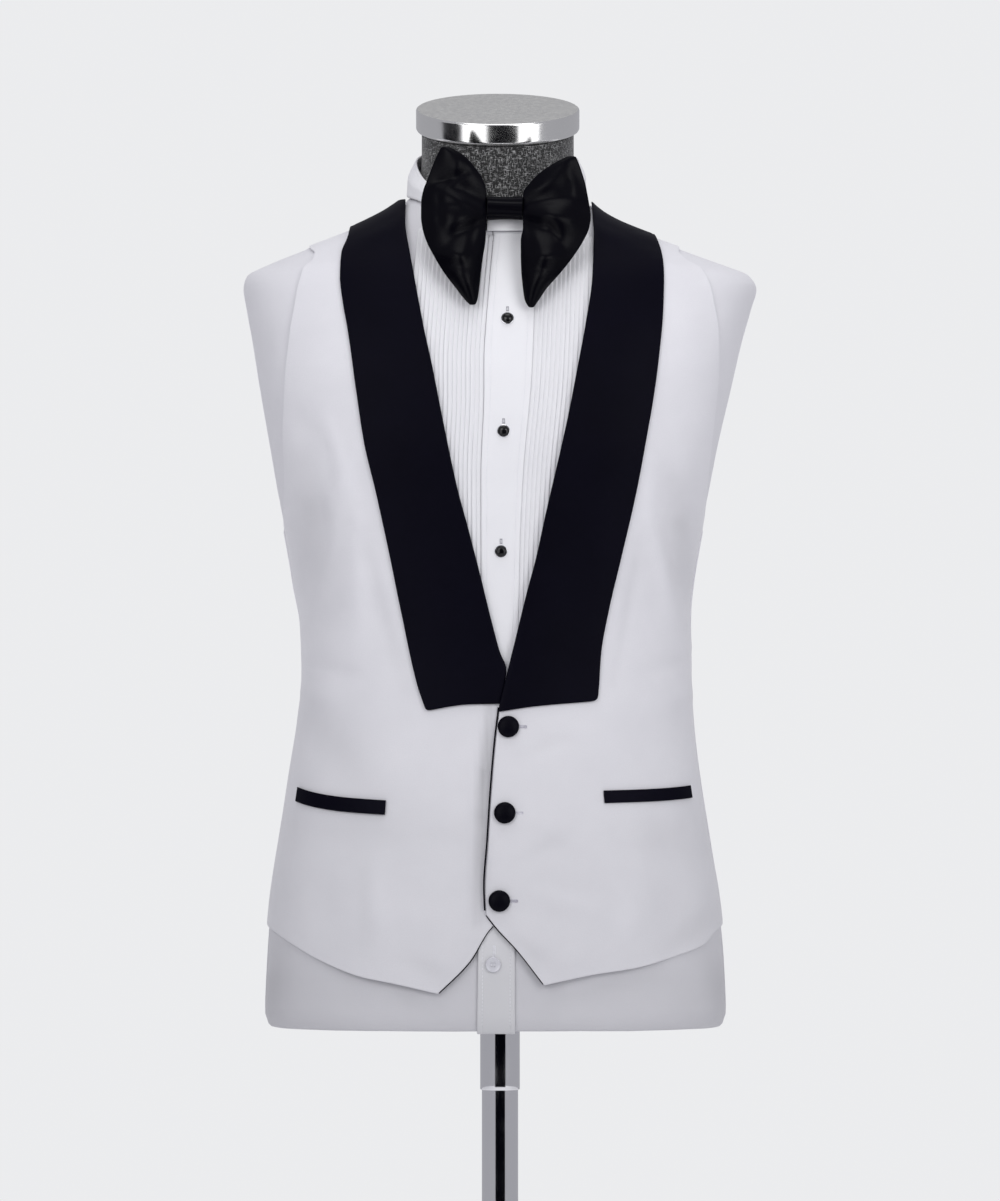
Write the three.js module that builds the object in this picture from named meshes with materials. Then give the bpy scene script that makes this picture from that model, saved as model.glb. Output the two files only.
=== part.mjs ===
// Tuxedo waistcoat, pleated shirt and bow tie, worn by a limbless dress form on a pole stand.
// Millimetres, +Z up. The front faces -Y, the origin lies on the floor under the pole.
// Left and right are the wearer's: left is +X.
import * as THREE from "three";

// Driving sizes of the stand
const BASE_RADIUS = 180;
const BASE_RIM = 6;
const BASE_HUB_RADIUS = 26;
const BASE_HUB_TOP = 46;
const POLE_RADIUS = 16;
const POLE_WALL = 2;
const POLE_SOCKET_FLOOR = 10;
const POLE_TOP = 1070;
const TUBE_RADIUS = 17.5;
const TUBE_BOTTOM = 720;
const TUBE_TOP = 1320;
const RUNNING_GAP = 0.05;
const SEAT_GAP = 0.3;

// Driving sizes of the cloth: how far each layer stands off the form, and its thickness
const SHIRT_LIFT = 1.6;
const SHIRT_BACK_LIFT = 2.0;
const SHIRT_CLOTH = 1.2;
const BIB_LIFT = 3.5;
const BIB_CLOTH = 1.0;
const TUCK_COUNT = 17;
const TUCK_PITCH = 3.9;
const TUCK_RISE = 0.9;
const PLACKET_CLOTH = 1.6;
const WAISTCOAT_SIDE_LIFT = 4.0;
const WAISTCOAT_BACK_LIFT = 5.0;
const WAISTCOAT_FRONT_LIFT = 6.6;
const WAISTCOAT_CLOTH = 1.8;
const OVERLAP_RISE = 2.6;
const LAYER_GAP = 0.6;
const LAPEL_GAP = 1.0;
const LAPEL_CLOTH = 1.8;
const COLLAR_CLOTH = 2.2;
const BOW_CLOTH = 2.4;
const TUCK_CLEARANCE = 0.5;
// Half of the gap at the side and centre seams, in degrees round the form
const SHIRT_SEAM_TURN = 0.11;
const WAISTCOAT_SEAM_TURN = 0.12;
const PIPING_WIDTH = 2.2;
const PIPING_CLOTH = 2.2;
const WELT_CLOTH = 1.4;

// Where around the form the waistcoat comes down from the bib to the sides, in degrees
const BIB_SIDE_START = 30;
const BIB_SIDE_END = 62;
const OVERLAP_FULL = 7;
const OVERLAP_END = 25;

// Heights of the main lines
const FORM_BOTTOM = 770;
const NECK_TOP = 1568.5;
const BIB_BOTTOM = 1085;
const SHOULDER_FOOT = 1440;
const YOKE_LINE = 1410;
const LAPEL_LOWEST_ROW = 1085;
// Where the fronts leave the lapels at the tip of the V
const V_TIP = { right: 1090, left: 1056 };
// The bib's top edge follows the neck seam, and falls away under the lapels from x to x
const BIB_TOP = { middle: 1494, side: 1458, fromX: 50, toX: 92, underSeam: 3.6 };

// The back of the form is never squarer than this
const BACK_POWER = 2.35;

const COLOUR = {
  waistcoat: 0xdcd9e2,
  shirt: 0xe6e6eb,
  satin: 0x0b0c12,
  tweed: 0x6f7074,
  chrome: 0xb9bcc2,
  clear: 0xe9ebee,
};

// Tables

// Cross-sections of the form: half width, depth in front and behind, shift to the side,
// how square the section is, and how far the neck's section leans forward (degrees).
const FORM_SECTIONS = table("z halfWidth front back shift power lean", [
  [770, 190, 99, 101, -4, 2.4, 0],
  [772, 195.5, 104.5, 106.5, -4, 2.4, 0],
  [777, 199.5, 108.5, 110.5, -4, 2.4, 0],
  [784, 200.5, 110, 112, -4, 2.4, 0],
  [830, 199, 113, 117, -4, 2.4, 0],
  [880, 195, 115, 118, -4.5, 2.4, 0],
  [930, 187.5, 113, 112, -5, 2.4, 0],
  [990, 178, 108, 101, -5, 2.4, 0],
  [1045, 170.5, 104, 91, -4, 2.4, 0],
  [1085, 167.5, 103, 86, -3, 2.4, 0],
  [1130, 168, 105, 86, -4, 2.45, 0],
  [1170, 173, 109, 90, -6, 2.55, 0],
  [1205, 179, 113, 95, -6, 2.7, 0],
  [1240, 186, 117, 101, -6, 2.85, 0],
  [1290, 195.5, 121.5, 109, -5.5, 3.0, 0],
  [1340, 206, 119, 114, -4, 3.0, 0],
  [1380, 214, 111, 115, -2.5, 2.95, 0],
  [1410, 221, 101, 112, -1, 2.8, 0],
  [1428, 224.5, 94, 107, 0, 2.6, 0],
  [1437, 221, 90, 104, -1.5, 2.45, 0],
  [1446, 202, 86.5, 100.5, -4, 2.3, 0],
  [1455, 179, 83, 97, -5.5, 2.2, 0],
  [1464, 155, 80, 93, -6, 2.15, 0],
  [1473, 131, 77, 89, -6.5, 2.1, 0],
  [1482, 110, 74.5, 85.5, -7, 2.05, 0],
  [1492, 92, 72, 81.5, -6, 2, 0],
  [1503, 78.5, 70, 78, -4, 2, 0],
  [1515, 70.5, 68.5, 73, -2.5, 2, 2],
  [1530, 68, 67.5, 69, -2, 2, 8],
  [1548, 67.5, 67.5, 67.5, -2, 2, 14],
  [1568.5, 67.5, 67.5, 67.5, -2, 2, 17.5],
]);

// Heights of the rows that the cloth and the form share, from the hem up to the shoulders
const LOW_ROWS = [772, 776, 784, 830, 890, 950, 1015, 1050, 1085, 1140, 1200];
const HIGH_ROWS = [1265, 1335, 1385, 1415, 1430];
const ROW_HEIGHTS = [...LOW_ROWS, ...HIGH_ROWS];
const SHOULDER_ROWS = [1440, 1451, 1462, 1473, 1484, 1496, 1505];
// Closer rows where an armhole's edge turns quickly, and where the fronts go over the shoulder
const SHIRT_ARMHOLE_ROWS = [1239, 1246, 1256, 1423, 1433];
const WAISTCOAT_ARMHOLE_ROWS = [1212, 1218, 1226, 1237, 1250];
const OVER_SHOULDER_ROWS = [1440, 1447, 1453, 1457, 1461, 1465, 1469, 1473, 1478, 1485, 1493, 1500];
const NECK_ROWS = [1515, 1530, 1548, 1568.5];
// Closer rows seat the studs on the chest, and the last ones run up to the collar
const PLACKET_ROWS = [1235, 1300, 1440, 1449, 1458, 1469];

// The seam between the shirt and its collar, and the collar's top edge
const NECK_SEAM = table("turn z", [
  [0, 1471],
  [15, 1477],
  [30, 1487.5],
  [45, 1497],
  [60, 1502],
  [75, 1505],
  [90, 1508],
  [110, 1514],
  [140, 1521],
  [180, 1524],
]);
const COLLAR_TOP = table("turn z", [
  [0, 1503],
  [30, 1509],
  [60, 1527],
  [90, 1550],
  [120, 1560],
  [180, 1565],
]);
const COLLAR_TOP_RING = { halfWidth: 77, front: 77.5, back: 76.5, shift: -2.5 };

// Edges of the shirt: its armhole in front and behind, in degrees round from the centre front
const SHIRT_ARMHOLE = table("z frontTurn backTurn", [
  [1238, 90, 90],
  [1255, 84, 103],
  [1290, 79, 114],
  [1340, 77.5, 118],
  [1380, 78, 116],
  [1410, 80, 109],
  [1425, 84, 100],
  [1432, 90, 90],
]);
const PLACKET_EDGES = table("z right left", [
  [770, -20, 13],
  [847, -19, 13],
  [1184, -16.4, 17],
  [1257, -16.4, 20],
  [1330, -13.8, 26.5],
  [1353, -13.8, 28],
  [1409, -10.5, 30],
  [1480, -4.4, 31],
]);

// Edges of the waistcoat. The roll edge is the lapel's inner edge down to the tip of the V.
const LEFT_ROLL_EDGE = table("z x", [
  [1057, -0.9],
  [1071, 2.6],
  [1090, 6.9],
  [1119, 13.9],
  [1155, 22.5],
  [1187, 31],
  [1219, 38],
  [1260, 47.5],
  [1304, 57.9],
  [1343, 65.7],
  [1384, 73.7],
  [1425, 80],
  [1455, 81.6],
  [1500, 83],
]);
const RIGHT_ROLL_EDGE = table("z x", [
  [1057, -0.3],
  [1071, 3.0],
  [1090, 4.3],
  [1123, -6.4],
  [1172, -17.3],
  [1187, -23.4],
  [1242, -36.3],
  [1300, -48.4],
  [1347, -57.9],
  [1382, -65.8],
  [1414, -72],
  [1449, -78.5],
  [1475, -83],
  [1500, -85],
]);
const LEFT_FRONT_EDGE = table("z x", [
  [879, -13.8],
  [901, -14.7],
  [940, -12],
  [980, -9.5],
  [1030, -5.2],
  [1054, -2.2],
]);
const RIGHT_FRONT_EDGE = table("z x", [
  [800, 15],
  [980, 13],
  [1057, 10],
  [1090, 6.5],
]);
const LEFT_LAPEL_OUTER = table("z x", [
  [1060, 83],
  [1067, 85],
  [1104, 87.6],
  [1143, 94.6],
  [1183, 104],
  [1241, 117.5],
  [1288, 126.6],
  [1327, 133.5],
  [1368, 139],
  [1400, 142],
  [1431, 143],
  [1450, 142],
  [1461, 139.5],
  [1478, 134],
]);
const RIGHT_LAPEL_OUTER = table("z x", [
  [1052, -63.5],
  [1060, -66.5],
  [1077, -72],
  [1146, -86.7],
  [1193, -96.2],
  [1246, -107.8],
  [1287, -117.7],
  [1327, -124],
  [1381, -132],
  [1405, -136.6],
  [1429, -139.5],
  [1448, -139],
  [1467, -134],
  [1478, -133],
]);
// The bottom edges of the lapels, as a share of the way from the roll edge to the outer edge
const LAPEL_BOTTOM = table("share right left", [
  [0, 1059, 1052],
  [0.4, 1058.5, 1057],
  [1, 1052.8, 1061.5],
]);
const WAISTCOAT_ARMHOLE = table("z rightTurn leftTurn backTurn", [
  [1212, 90, 90, 90],
  [1222, 76, 77, 105],
  [1247, 64, 68, 118],
  [1272, 59, 64, 124],
  [1300, 56, 61, 128],
  [1327, 53, 58.5, 130],
  [1355, 50.5, 56, 131],
  [1385, 48, 53, 131],
  [1412, 46, 49.5, 129],
  [1430, 45.5, 48, 126],
  [1442, 47, 50, 121],
  [1452, 54, 57, 111],
  [1459, 70, 72, 100],
  [1463, 90, 90, 90],
]);
// The hem of each front by its place round the form, with the pointed tip on a column
const RIGHT_HEM = table("turn z", [
  [-8, 893],
  [1.3, 864.5],
  [6.2, 837],
  [13.9, 809.4],
  [24.8, 818],
  [33.1, 823.5],
  [44.6, 836],
  [57.5, 851],
  [68.8, 860],
  [90, 868],
]);
const LEFT_HEM = table("turn z", [
  [-2.7, 879],
  [0.3, 866],
  [5.1, 848],
  [11.8, 817],
  [23.7, 825.5],
  [34.8, 831],
  [46.7, 840],
  [59.1, 849],
  [69.7, 861],
  [90, 868],
]);
const RIGHT_COLUMNS = [0, 0.1, 0.2, 0.31, 0.43, 0.55, 0.67, 0.79, 0.9, 1];
const LEFT_COLUMNS = [0, 0.078, 0.156, 0.27, 0.39, 0.51, 0.64, 0.77, 0.89, 1];
const HEM_START = 900;
const BACK_HEM = 868;
const BACK_NECK = table("turn z", [
  [90, 1500],
  [120, 1503],
  [150, 1504],
  [180, 1504],
]);

// Pocket welts: the top edge at both ends and the height, right and left
const WELTS = table("side nearTurn farTurn nearTop farTop height", [
  [-1, 29, 64, 978, 987, 13],
  [1, 29.5, 63.8, 984, 988, 12],
]);

// Buttons, studs and the clear shirt button: where they sit and their size
const WAISTCOAT_BUTTONS = table("x z", [
  [7.2, 1039],
  [4.1, 964],
  [-0.6, 889],
]);
const STUDS = table("x z", [
  [6.5, 1392],
  [3.1, 1295],
  [0.9, 1192],
]);
const SHIRT_BUTTON = { x: -6, z: 834.5 };
const COVERED_BUTTON_PROFILE = [[0, 0], [7.6, 0], [9.1, 1.6], [8.6, 3.6], [6.2, 5.2], [0, 6]];
const STUD_PROFILE = [[0, 0], [5.1, 0], [5.5, 0.8], [5.0, 1.8], [3.2, 3.2], [0, 3.8]];
const SHIRT_BUTTON_PROFILE = [[0, 0], [5.6, 0], [6.1, 0.8], [5.7, 2.0], [4.2, 1.7], [0, 1.5]];

// The bow: each wing by rows from its upper corner to its drooping tip
const RIGHT_WING = table("z far near", [
  [1544.2, -51.2, -44.2],
  [1536, -55.5, -30.5],
  [1526, -59.7, -21.5],
  [1515.6, -63.6, -14.7],
  [1507, -66.8, -12.2],
  [1497, -68.5, -11.8],
  [1484, -68.6, -11.8],
  [1474, -67.4, -12.2],
  [1462, -64, -12.8],
  [1448, -57, -15],
  [1434, -48.5, -16.8],
  [1420, -37.8, -18.4],
  [1410, -30, -19.8],
  [1405.6, -25.6, -21.6],
]);
const LEFT_WING = table("z far near", [
  [1536.2, 66, 58.5],
  [1529, 69.2, 45],
  [1520.5, 72, 33],
  [1512, 74.5, 25],
  [1505, 75.8, 20.3],
  [1497, 77.2, 20],
  [1484, 78.9, 20],
  [1474, 77.5, 20],
  [1462, 72.3, 18.2],
  [1448, 63.5, 18.3],
  [1434, 52.5, 18.8],
  [1420, 40.2, 20.2],
  [1410, 33.5, 21.7],
  [1403.4, 29, 25],
]);
const WING_COLUMNS = 7;
const WING_FACE = table("z y", [
  [1400, -115],
  [1420, -113],
  [1450, -106],
  [1480, -96],
  [1497, -92.5],
  [1520, -93],
  [1545, -96],
]);
const WING_SWELL = 13;
const WING_FOLDS = table("heading width rise", [
  [62, 16, 2.5],
  [22, 15, -3.5],
  [-8, 16, 3.5],
  [-32, 13, -3.5],
  [-58, 15, 2.5],
]);
const KNOT = { x: 4.1, z: 1490, halfWidth: 15.4, halfHeight: 11.6, halfDepth: 8.4, backGap: 0.4 };
const KNOT_STATIONS = table("share scale", [
  [-1, 1],
  [-0.6, 0.97],
  [0, 0.93],
  [0.6, 0.97],
  [1, 1],
]);
const KNOT_SIDES = 20;

const CAP_PROFILE = [[0, 0], [68.3, 0], [72.5, 3.5], [72.5, 20], [71.5, 21], [0, 21]];
const CAP_TILT = 17.5;
const FORM_COLUMNS = 28;
const ROUND_SIDES = 36;
const BUTTON_SIDES = 14;

// Small maths

function table(names, rows) {
  const columns = names.split(" ");
  return rows.map((row) => Object.fromEntries(row.map((value, i) => [columns[i], value])));
}

function radians(degrees) {
  return (degrees * Math.PI) / 180;
}

function inOrder(heights) {
  return [...heights].sort((a, b) => a - b);
}

function mix(a, b, share) {
  return a + (b - a) * share;
}

function smoothStep(from, to, at) {
  const share = Math.min(1, Math.max(0, (at - from) / (to - from)));
  return share * share * (3 - 2 * share);
}

// A smooth curve through one column of a table, with no overshoot between its rows
function curve(rows, key, column) {
  const rise = rows.slice(1).map((row, i) => {
    return (row[column] - rows[i][column]) / (row[key] - rows[i][key]);
  });
  const slopes = rows.map((row, i) => {
    if (i === 0) return rise[0];
    if (i === rows.length - 1) return rise[i - 1];
    const before = rise[i - 1];
    const after = rise[i];
    return before * after <= 0 ? 0 : (2 * before * after) / (before + after);
  });
  return (at) => {
    let i = 0;
    while (i < rows.length - 2 && rows[i + 1][key] < at) i += 1;
    const step = rows[i + 1][key] - rows[i][key];
    const t = Math.min(1, Math.max(0, (at - rows[i][key]) / step));
    const t2 = t * t;
    const t3 = t2 * t;
    const start = rows[i][column] * (2 * t3 - 3 * t2 + 1) + slopes[i] * step * (t3 - 2 * t2 + t);
    return start + rows[i + 1][column] * (3 * t2 - 2 * t3) + slopes[i + 1] * step * (t3 - t2);
  };
}

// A curve of straight stretches through one column of a table
function straight(rows, key, column) {
  return (at) => {
    let i = 0;
    while (i < rows.length - 2 && rows[i + 1][key] < at) i += 1;
    const t = (at - rows[i][key]) / (rows[i + 1][key] - rows[i][key]);
    return mix(rows[i][column], rows[i + 1][column], Math.min(1, Math.max(0, t)));
  };
}

// The form's surface

const SECTION_COLUMNS = ["halfWidth", "front", "back", "shift", "power", "lean"];
const SECTION_CURVES = SECTION_COLUMNS.map((column) => curve(FORM_SECTIONS, "z", column));

// A point on the bare form: turn runs round from the centre front, positive to the left side
function formPoint(turn, z) {
  const [halfWidth, front, back, shift, power, lean] = SECTION_CURVES.map((at) => at(z));
  const across = Math.sin(turn);
  const along = Math.cos(turn);
  const square = along > 0 ? power : Math.min(power, BACK_POWER);
  const reach = (Math.abs(across) ** square + Math.abs(along) ** square) ** (-1 / square);
  const x = shift + halfWidth * reach * across;
  const y = -(along > 0 ? front : back) * reach * along;
  return new THREE.Vector3(x, y, z + y * Math.tan(radians(lean)));
}

function formNormal(turn, z) {
  const turnStep = 0.01;
  const low = formPoint(turn, Math.max(FORM_BOTTOM, z - 1.5));
  const high = formPoint(turn, Math.min(NECK_TOP, z + 1.5));
  const round = formPoint(turn + turnStep, z).sub(formPoint(turn - turnStep, z));
  return round.cross(high.sub(low)).normalize();
}

// A point that stands off the form by a lift, square to its surface
function onForm(turn, z, lift) {
  return formPoint(turn, z).addScaledVector(formNormal(turn, z), lift);
}

// The turn at which a piece standing off by the lift passes the given x, on the front side
function turnAt(x, z, lift) {
  const limit = radians(89.8);
  let low = -limit;
  let high = limit;
  for (let step = 0; step < 26; step += 1) {
    const middle = (low + high) / 2;
    if (onForm(middle, z, lift).x < x) low = middle;
    else high = middle;
  }
  return (low + high) / 2;
}

// Solids from rows of points

// Triangles between two rows of point numbers, which may have different lengths
function strip(triangles, upper, lower) {
  let i = 0;
  let j = 0;
  while (i < upper.length - 1 || j < lower.length - 1) {
    const nextUpper = i < upper.length - 1 ? (i + 1) / (upper.length - 1) : Infinity;
    const nextLower = j < lower.length - 1 ? (j + 1) / (lower.length - 1) : Infinity;
    if (nextLower <= nextUpper + 1e-9) {
      triangles.push([upper[i], lower[j], lower[j + 1]]);
      j += 1;
    } else {
      triangles.push([upper[i], lower[j], upper[i + 1]]);
      i += 1;
    }
  }
}

// Triangles over a grid of point numbers. Each four-sided cell is split as leans says, so that
// the two faces of a wall are split alike.
function quilt(triangles, grid, leans, reversed) {
  for (let row = 0; row < grid.length - 1; row += 1) {
    for (let i = 0; i < grid[row].length - 1; i += 1) {
      const [a, b] = [grid[row][i], grid[row][i + 1]];
      const [d, c] = [grid[row + 1][i], grid[row + 1][i + 1]];
      const pair = leans[row][i] ? [[a, d, c], [a, c, b]] : [[a, d, b], [b, d, c]];
      for (const [p, q, r] of pair) triangles.push(reversed ? [p, r, q] : [p, q, r]);
    }
  }
}

// Which way each cell is split: along its shorter diagonal
function shorterDiagonals(face) {
  return face.slice(1).map((lower, row) =>
    lower.slice(1).map((corner, i) => {
      const down = face[row][i].distanceTo(corner);
      return down < face[row][i + 1].distanceTo(lower[i]);
    }),
  );
}

// A geometry of the triangles, turned so that they face out
function closedGeometry(points, triangles) {
  let volume = 0;
  for (const [a, b, c] of triangles) {
    volume += points[a].dot(points[b].clone().cross(points[c]));
  }
  const facing = volume < 0 ? triangles.map(([a, b, c]) => [a, c, b]) : triangles;
  const geometry = new THREE.BufferGeometry().setFromPoints(points);
  geometry.setIndex(facing.flat());
  geometry.computeVertexNormals();
  return geometry;
}

// A wall between a grid of face points and a grid of back points with the same number of rows
function wall(face, back) {
  const points = [];
  const number = (grid) => grid.map((row) => row.map((point) => points.push(point) - 1));
  const outside = number(face);
  const inside = number(back);
  const triangles = [];
  const last = face.length - 1;
  const leans = shorterDiagonals(face);
  quilt(triangles, outside, leans, false);
  if (back[0].length === face[0].length) quilt(triangles, inside, leans, true);
  else for (let row = 0; row < last; row += 1) strip(triangles, inside[row + 1], inside[row]);
  strip(triangles, inside[0], outside[0]);
  strip(triangles, outside[last], inside[last]);
  const first = (grid) => grid.map((row) => row[0]);
  const end = (grid) => grid.map((row) => row[row.length - 1]);
  strip(triangles, first(outside), first(inside));
  strip(triangles, end(inside), end(outside));
  return closedGeometry(points, triangles);
}

// A solid of closed rings in a row: capped at both ends, or joined up end to start
function ringSolid(rings, joined) {
  const points = [];
  const numbered = rings.map((ring) => ring.map((point) => points.push(point) - 1));
  const closed = numbered.map((ring) => [...ring, ring[0]]);
  const triangles = [];
  for (let i = 0; i < closed.length - 1; i += 1) strip(triangles, closed[i], closed[i + 1]);
  if (joined) {
    strip(triangles, closed[closed.length - 1], closed[0]);
    return closedGeometry(points, triangles);
  }
  const middle = (ring) => {
    const sum = ring.reduce((total, point) => total.add(point), new THREE.Vector3());
    return sum.divideScalar(ring.length);
  };
  const start = points.push(middle(rings[0])) - 1;
  const finish = points.push(middle(rings[rings.length - 1])) - 1;
  const lastRing = closed[closed.length - 1];
  for (let i = 0; i < closed[0].length - 1; i += 1) {
    triangles.push([start, closed[0][i], closed[0][i + 1]]);
    triangles.push([finish, lastRing[i + 1], lastRing[i]]);
  }
  return closedGeometry(points, triangles);
}

// A turned piece about the Z axis, from rows of radius and height
function turned(profile, sides) {
  const points = profile.map(([radius, height]) => new THREE.Vector2(radius, height));
  if (profile[0][0] > 0) points.push(points[0].clone());
  let area = 0;
  for (let i = 0; i < points.length - 1; i += 1) {
    area += points[i].x * points[i + 1].y - points[i + 1].x * points[i].y;
  }
  if (area < 0) points.reverse();
  return new THREE.LatheGeometry(points, sides).rotateX(Math.PI / 2);
}

// A wall of cloth on the form. spots is a grid of places, each with its turn and height, lift
// says how far the back stands off, and raise adds to the face alone.
function clothWall(spots, lift, thickness, raise = () => 0, backColumns = null) {
  const face = spots.map((row) =>
    row.map((spot, i) => onForm(spot.turn, spot.z, lift(spot) + thickness + raise(i))),
  );
  const chosen = (row) => (backColumns ? backColumns.map((i) => row[i]) : row);
  const back = spots.map((row) => chosen(row).map((spot) => onForm(spot.turn, spot.z, lift(spot))));
  return wall(face, back);
}

const group = new THREE.Group();

function material(color, roughness, metalness) {
  return new THREE.MeshStandardMaterial({ color, roughness, metalness, side: THREE.DoubleSide });
}

const MATERIALS = {
  waistcoat: material(COLOUR.waistcoat, 0.85, 0),
  shirt: material(COLOUR.shirt, 0.8, 0),
  satin: material(COLOUR.satin, 0.3, 0),
  tweed: material(COLOUR.tweed, 0.95, 0),
  chrome: material(COLOUR.chrome, 0.15, 1),
  clear: material(COLOUR.clear, 0.2, 0),
};

function addPiece(name, geometry, finish) {
  const mesh = new THREE.Mesh(geometry, MATERIALS[finish]);
  mesh.name = name;
  group.add(mesh);
  return mesh;
}

// Lifts of the layers

function waistcoatLift(turn) {
  const degrees = Math.abs((turn * 180) / Math.PI);
  const aside = smoothStep(BIB_SIDE_START, BIB_SIDE_END, degrees);
  return mix(WAISTCOAT_FRONT_LIFT, WAISTCOAT_SIDE_LIFT, aside);
}

// The left front rises over the right front where they overlap
function frontLift(side) {
  return ({ turn }) => {
    const degrees = (turn * 180) / Math.PI;
    const rise = side > 0 ? OVERLAP_RISE * (1 - smoothStep(OVERLAP_FULL, OVERLAP_END, degrees)) : 0;
    return waistcoatLift(turn) + rise;
  };
}

function onWaistcoat(side, gap) {
  const lift = frontLift(side);
  return (spot) => lift(spot) + WAISTCOAT_CLOTH + gap;
}

// Shirt

const seamHeight = curve(NECK_SEAM, "turn", "z");
const SHIRT_NECK_OVERLAP = 1.6;
const SHIRT_COLUMNS = [0, 0.13, 0.26, 0.39, 0.51, 0.62, 0.72, 0.82, 0.91, 1];
const SHIRT_BACK_COLUMNS = [0, 0.055, 0.115, 0.18, 0.25, 0.33, 0.415, 0.5];
const SHOULDER_SHARES = [0.15, 0.31, 0.48, 0.66, 0.84, 1];

// The turn of an armhole's edge at a height, or the shoulder and side seam above and below it
function armholeTurn(rows, column, z) {
  const inside = z > rows[0].z && z < rows[rows.length - 1].z;
  return inside ? curve(rows, "z", column)(z) : 90;
}

function shirtRows() {
  const level = inOrder([...ROW_HEIGHTS, ...SHIRT_ARMHOLE_ROWS, SHOULDER_FOOT]).map((z) => () => z);
  const raised = SHOULDER_SHARES.map((share) => (degrees) =>
    mix(SHOULDER_FOOT, seamHeight(Math.abs(degrees)) + SHIRT_NECK_OVERLAP, share),
  );
  return [...level, ...raised].reverse();
}

function shirtFront(side) {
  return shirtRows().map((height) =>
    SHIRT_COLUMNS.map((share) => {
      const edge = armholeTurn(SHIRT_ARMHOLE, "frontTurn", height(90));
      const degrees = mix(SHIRT_SEAM_TURN, edge - SHIRT_SEAM_TURN, share);
      return { turn: side * radians(degrees), z: height(degrees) };
    }),
  );
}

function shirtBack() {
  const mirrored = SHIRT_BACK_COLUMNS.slice(0, -1).map((share) => 1 - share).reverse();
  return shirtRows().map((height) =>
    [...SHIRT_BACK_COLUMNS, ...mirrored].map((share) => {
      const edge = armholeTurn(SHIRT_ARMHOLE, "backTurn", height(90)) + SHIRT_SEAM_TURN;
      const degrees = mix(edge, 360 - edge, share);
      return { turn: radians(degrees), z: height(Math.min(degrees, 360 - degrees)) };
    }),
  );
}

const placketRight = curve(PLACKET_EDGES, "z", "right");
const placketLeft = curve(PLACKET_EDGES, "z", "left");

function placketSpots() {
  const heights = inOrder([...ROW_HEIGHTS, ...PLACKET_ROWS]).reverse();
  return heights.map((z) =>
    [0, 0.33, 0.67, 1].map((share) => {
      const x = mix(placketRight(z), placketLeft(z), share);
      return { turn: turnAt(x, z, BIB_LIFT), z };
    }),
  );
}

// The height of the neck seam over a distance to the side
function seamOver(side, x) {
  let degrees = 0;
  const seamX = (at) => side * onForm(side * radians(at), seamHeight(at), BIB_LIFT).x;
  while (degrees < 89 && seamX(degrees) < x) degrees += 1;
  return seamHeight(degrees);
}

// The bib's tucks run down beside the placket, each with a crest and a valley
function bibSpots(side) {
  const topOver = (x) => {
    const aside = mix(BIB_TOP.middle, BIB_TOP.side, smoothStep(BIB_TOP.fromX, BIB_TOP.toX, x));
    return Math.min(seamOver(side, x) - BIB_TOP.underSeam, aside);
  };
  const columns = TUCK_COUNT * 2 + 1;
  const level = ROW_HEIGHTS.filter((z) => z > BIB_BOTTOM);
  const heights = [BIB_BOTTOM, ...level, SHOULDER_FOOT];
  const edge = side > 0 ? placketLeft : placketRight;
  const spots = [];
  const rowAt = (heightOf) => {
    const row = [];
    for (let i = 0; i < columns; i += 1) {
      const out = TUCK_CLEARANCE + (i * TUCK_PITCH) / 2;
      const start = Math.abs(edge(SHOULDER_FOOT) + side * out);
      const z = heightOf(start);
      row.push({ turn: turnAt(edge(z) + side * out, z, BIB_LIFT), z });
    }
    return row;
  };
  for (const share of [1, 0.72, 0.45, 0.2]) {
    spots.push(rowAt((x) => mix(SHOULDER_FOOT, topOver(x), share)));
  }
  for (const z of heights.reverse()) spots.push(rowAt(() => z));
  return spots;
}

function addShirt() {
  const onBody = () => SHIRT_LIFT;
  const onShirt = () => BIB_LIFT;
  addPiece("shirt_front_left", clothWall(shirtFront(1), onBody, SHIRT_CLOTH), "shirt");
  addPiece("shirt_front_right", clothWall(shirtFront(-1), onBody, SHIRT_CLOTH), "shirt");
  // The back stands off a little more below the yoke, where the form curves most
  const onBack = ({ z }) => mix(SHIRT_BACK_LIFT, SHIRT_LIFT, smoothStep(YOKE_LINE, SHOULDER_FOOT, z));
  addPiece("shirt_back", clothWall(shirtBack(), onBack, SHIRT_CLOTH), "shirt");
  addPiece("shirt_placket", clothWall(placketSpots(), onShirt, PLACKET_CLOTH), "shirt");
  const tuck = (i) => (i % 2 === 1 ? TUCK_RISE : 0);
  const plain = [0, 4, 8, 12, 16, 20, 24, 28, 31, TUCK_COUNT * 2];
  for (const [name, side] of [["bib_left", 1], ["bib_right", -1]]) {
    addPiece(name, clothWall(bibSpots(side), onShirt, BIB_CLOTH, tuck, plain), "shirt");
  }
}

// The standing collar is one band round the neck, with its ends butted at the centre front
function addCollar() {
  const topHeight = curve(COLLAR_TOP, "turn", "z");
  const startDegrees = -3.2;
  const endGap = 0.5;
  const steps = 34;
  const ring = COLLAR_TOP_RING;
  const liftFromShirt = SHIRT_LIFT + SHIRT_CLOTH + LAYER_GAP;
  const grid = (depth) =>
    [1, 0.5, 0].map((up) =>
      Array.from({ length: steps + 1 }, (_, i) => {
        const degrees = startDegrees + ((360 - endGap) * i) / steps;
        const turn = radians(degrees);
        const fold = Math.abs(degrees > 180 ? degrees - 360 : degrees);
        const foot = onForm(turn, seamHeight(fold), liftFromShirt + depth);
        const reachY = (Math.cos(turn) > 0 ? ring.front : ring.back) + depth;
        const x = ring.shift + (ring.halfWidth + depth) * Math.sin(turn);
        const head = new THREE.Vector3(x, -reachY * Math.cos(turn), topHeight(fold));
        return foot.lerp(head, up);
      }),
    );
  addPiece("shirt_collar", wall(grid(COLLAR_CLOTH), grid(0)), "shirt");
}

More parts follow.
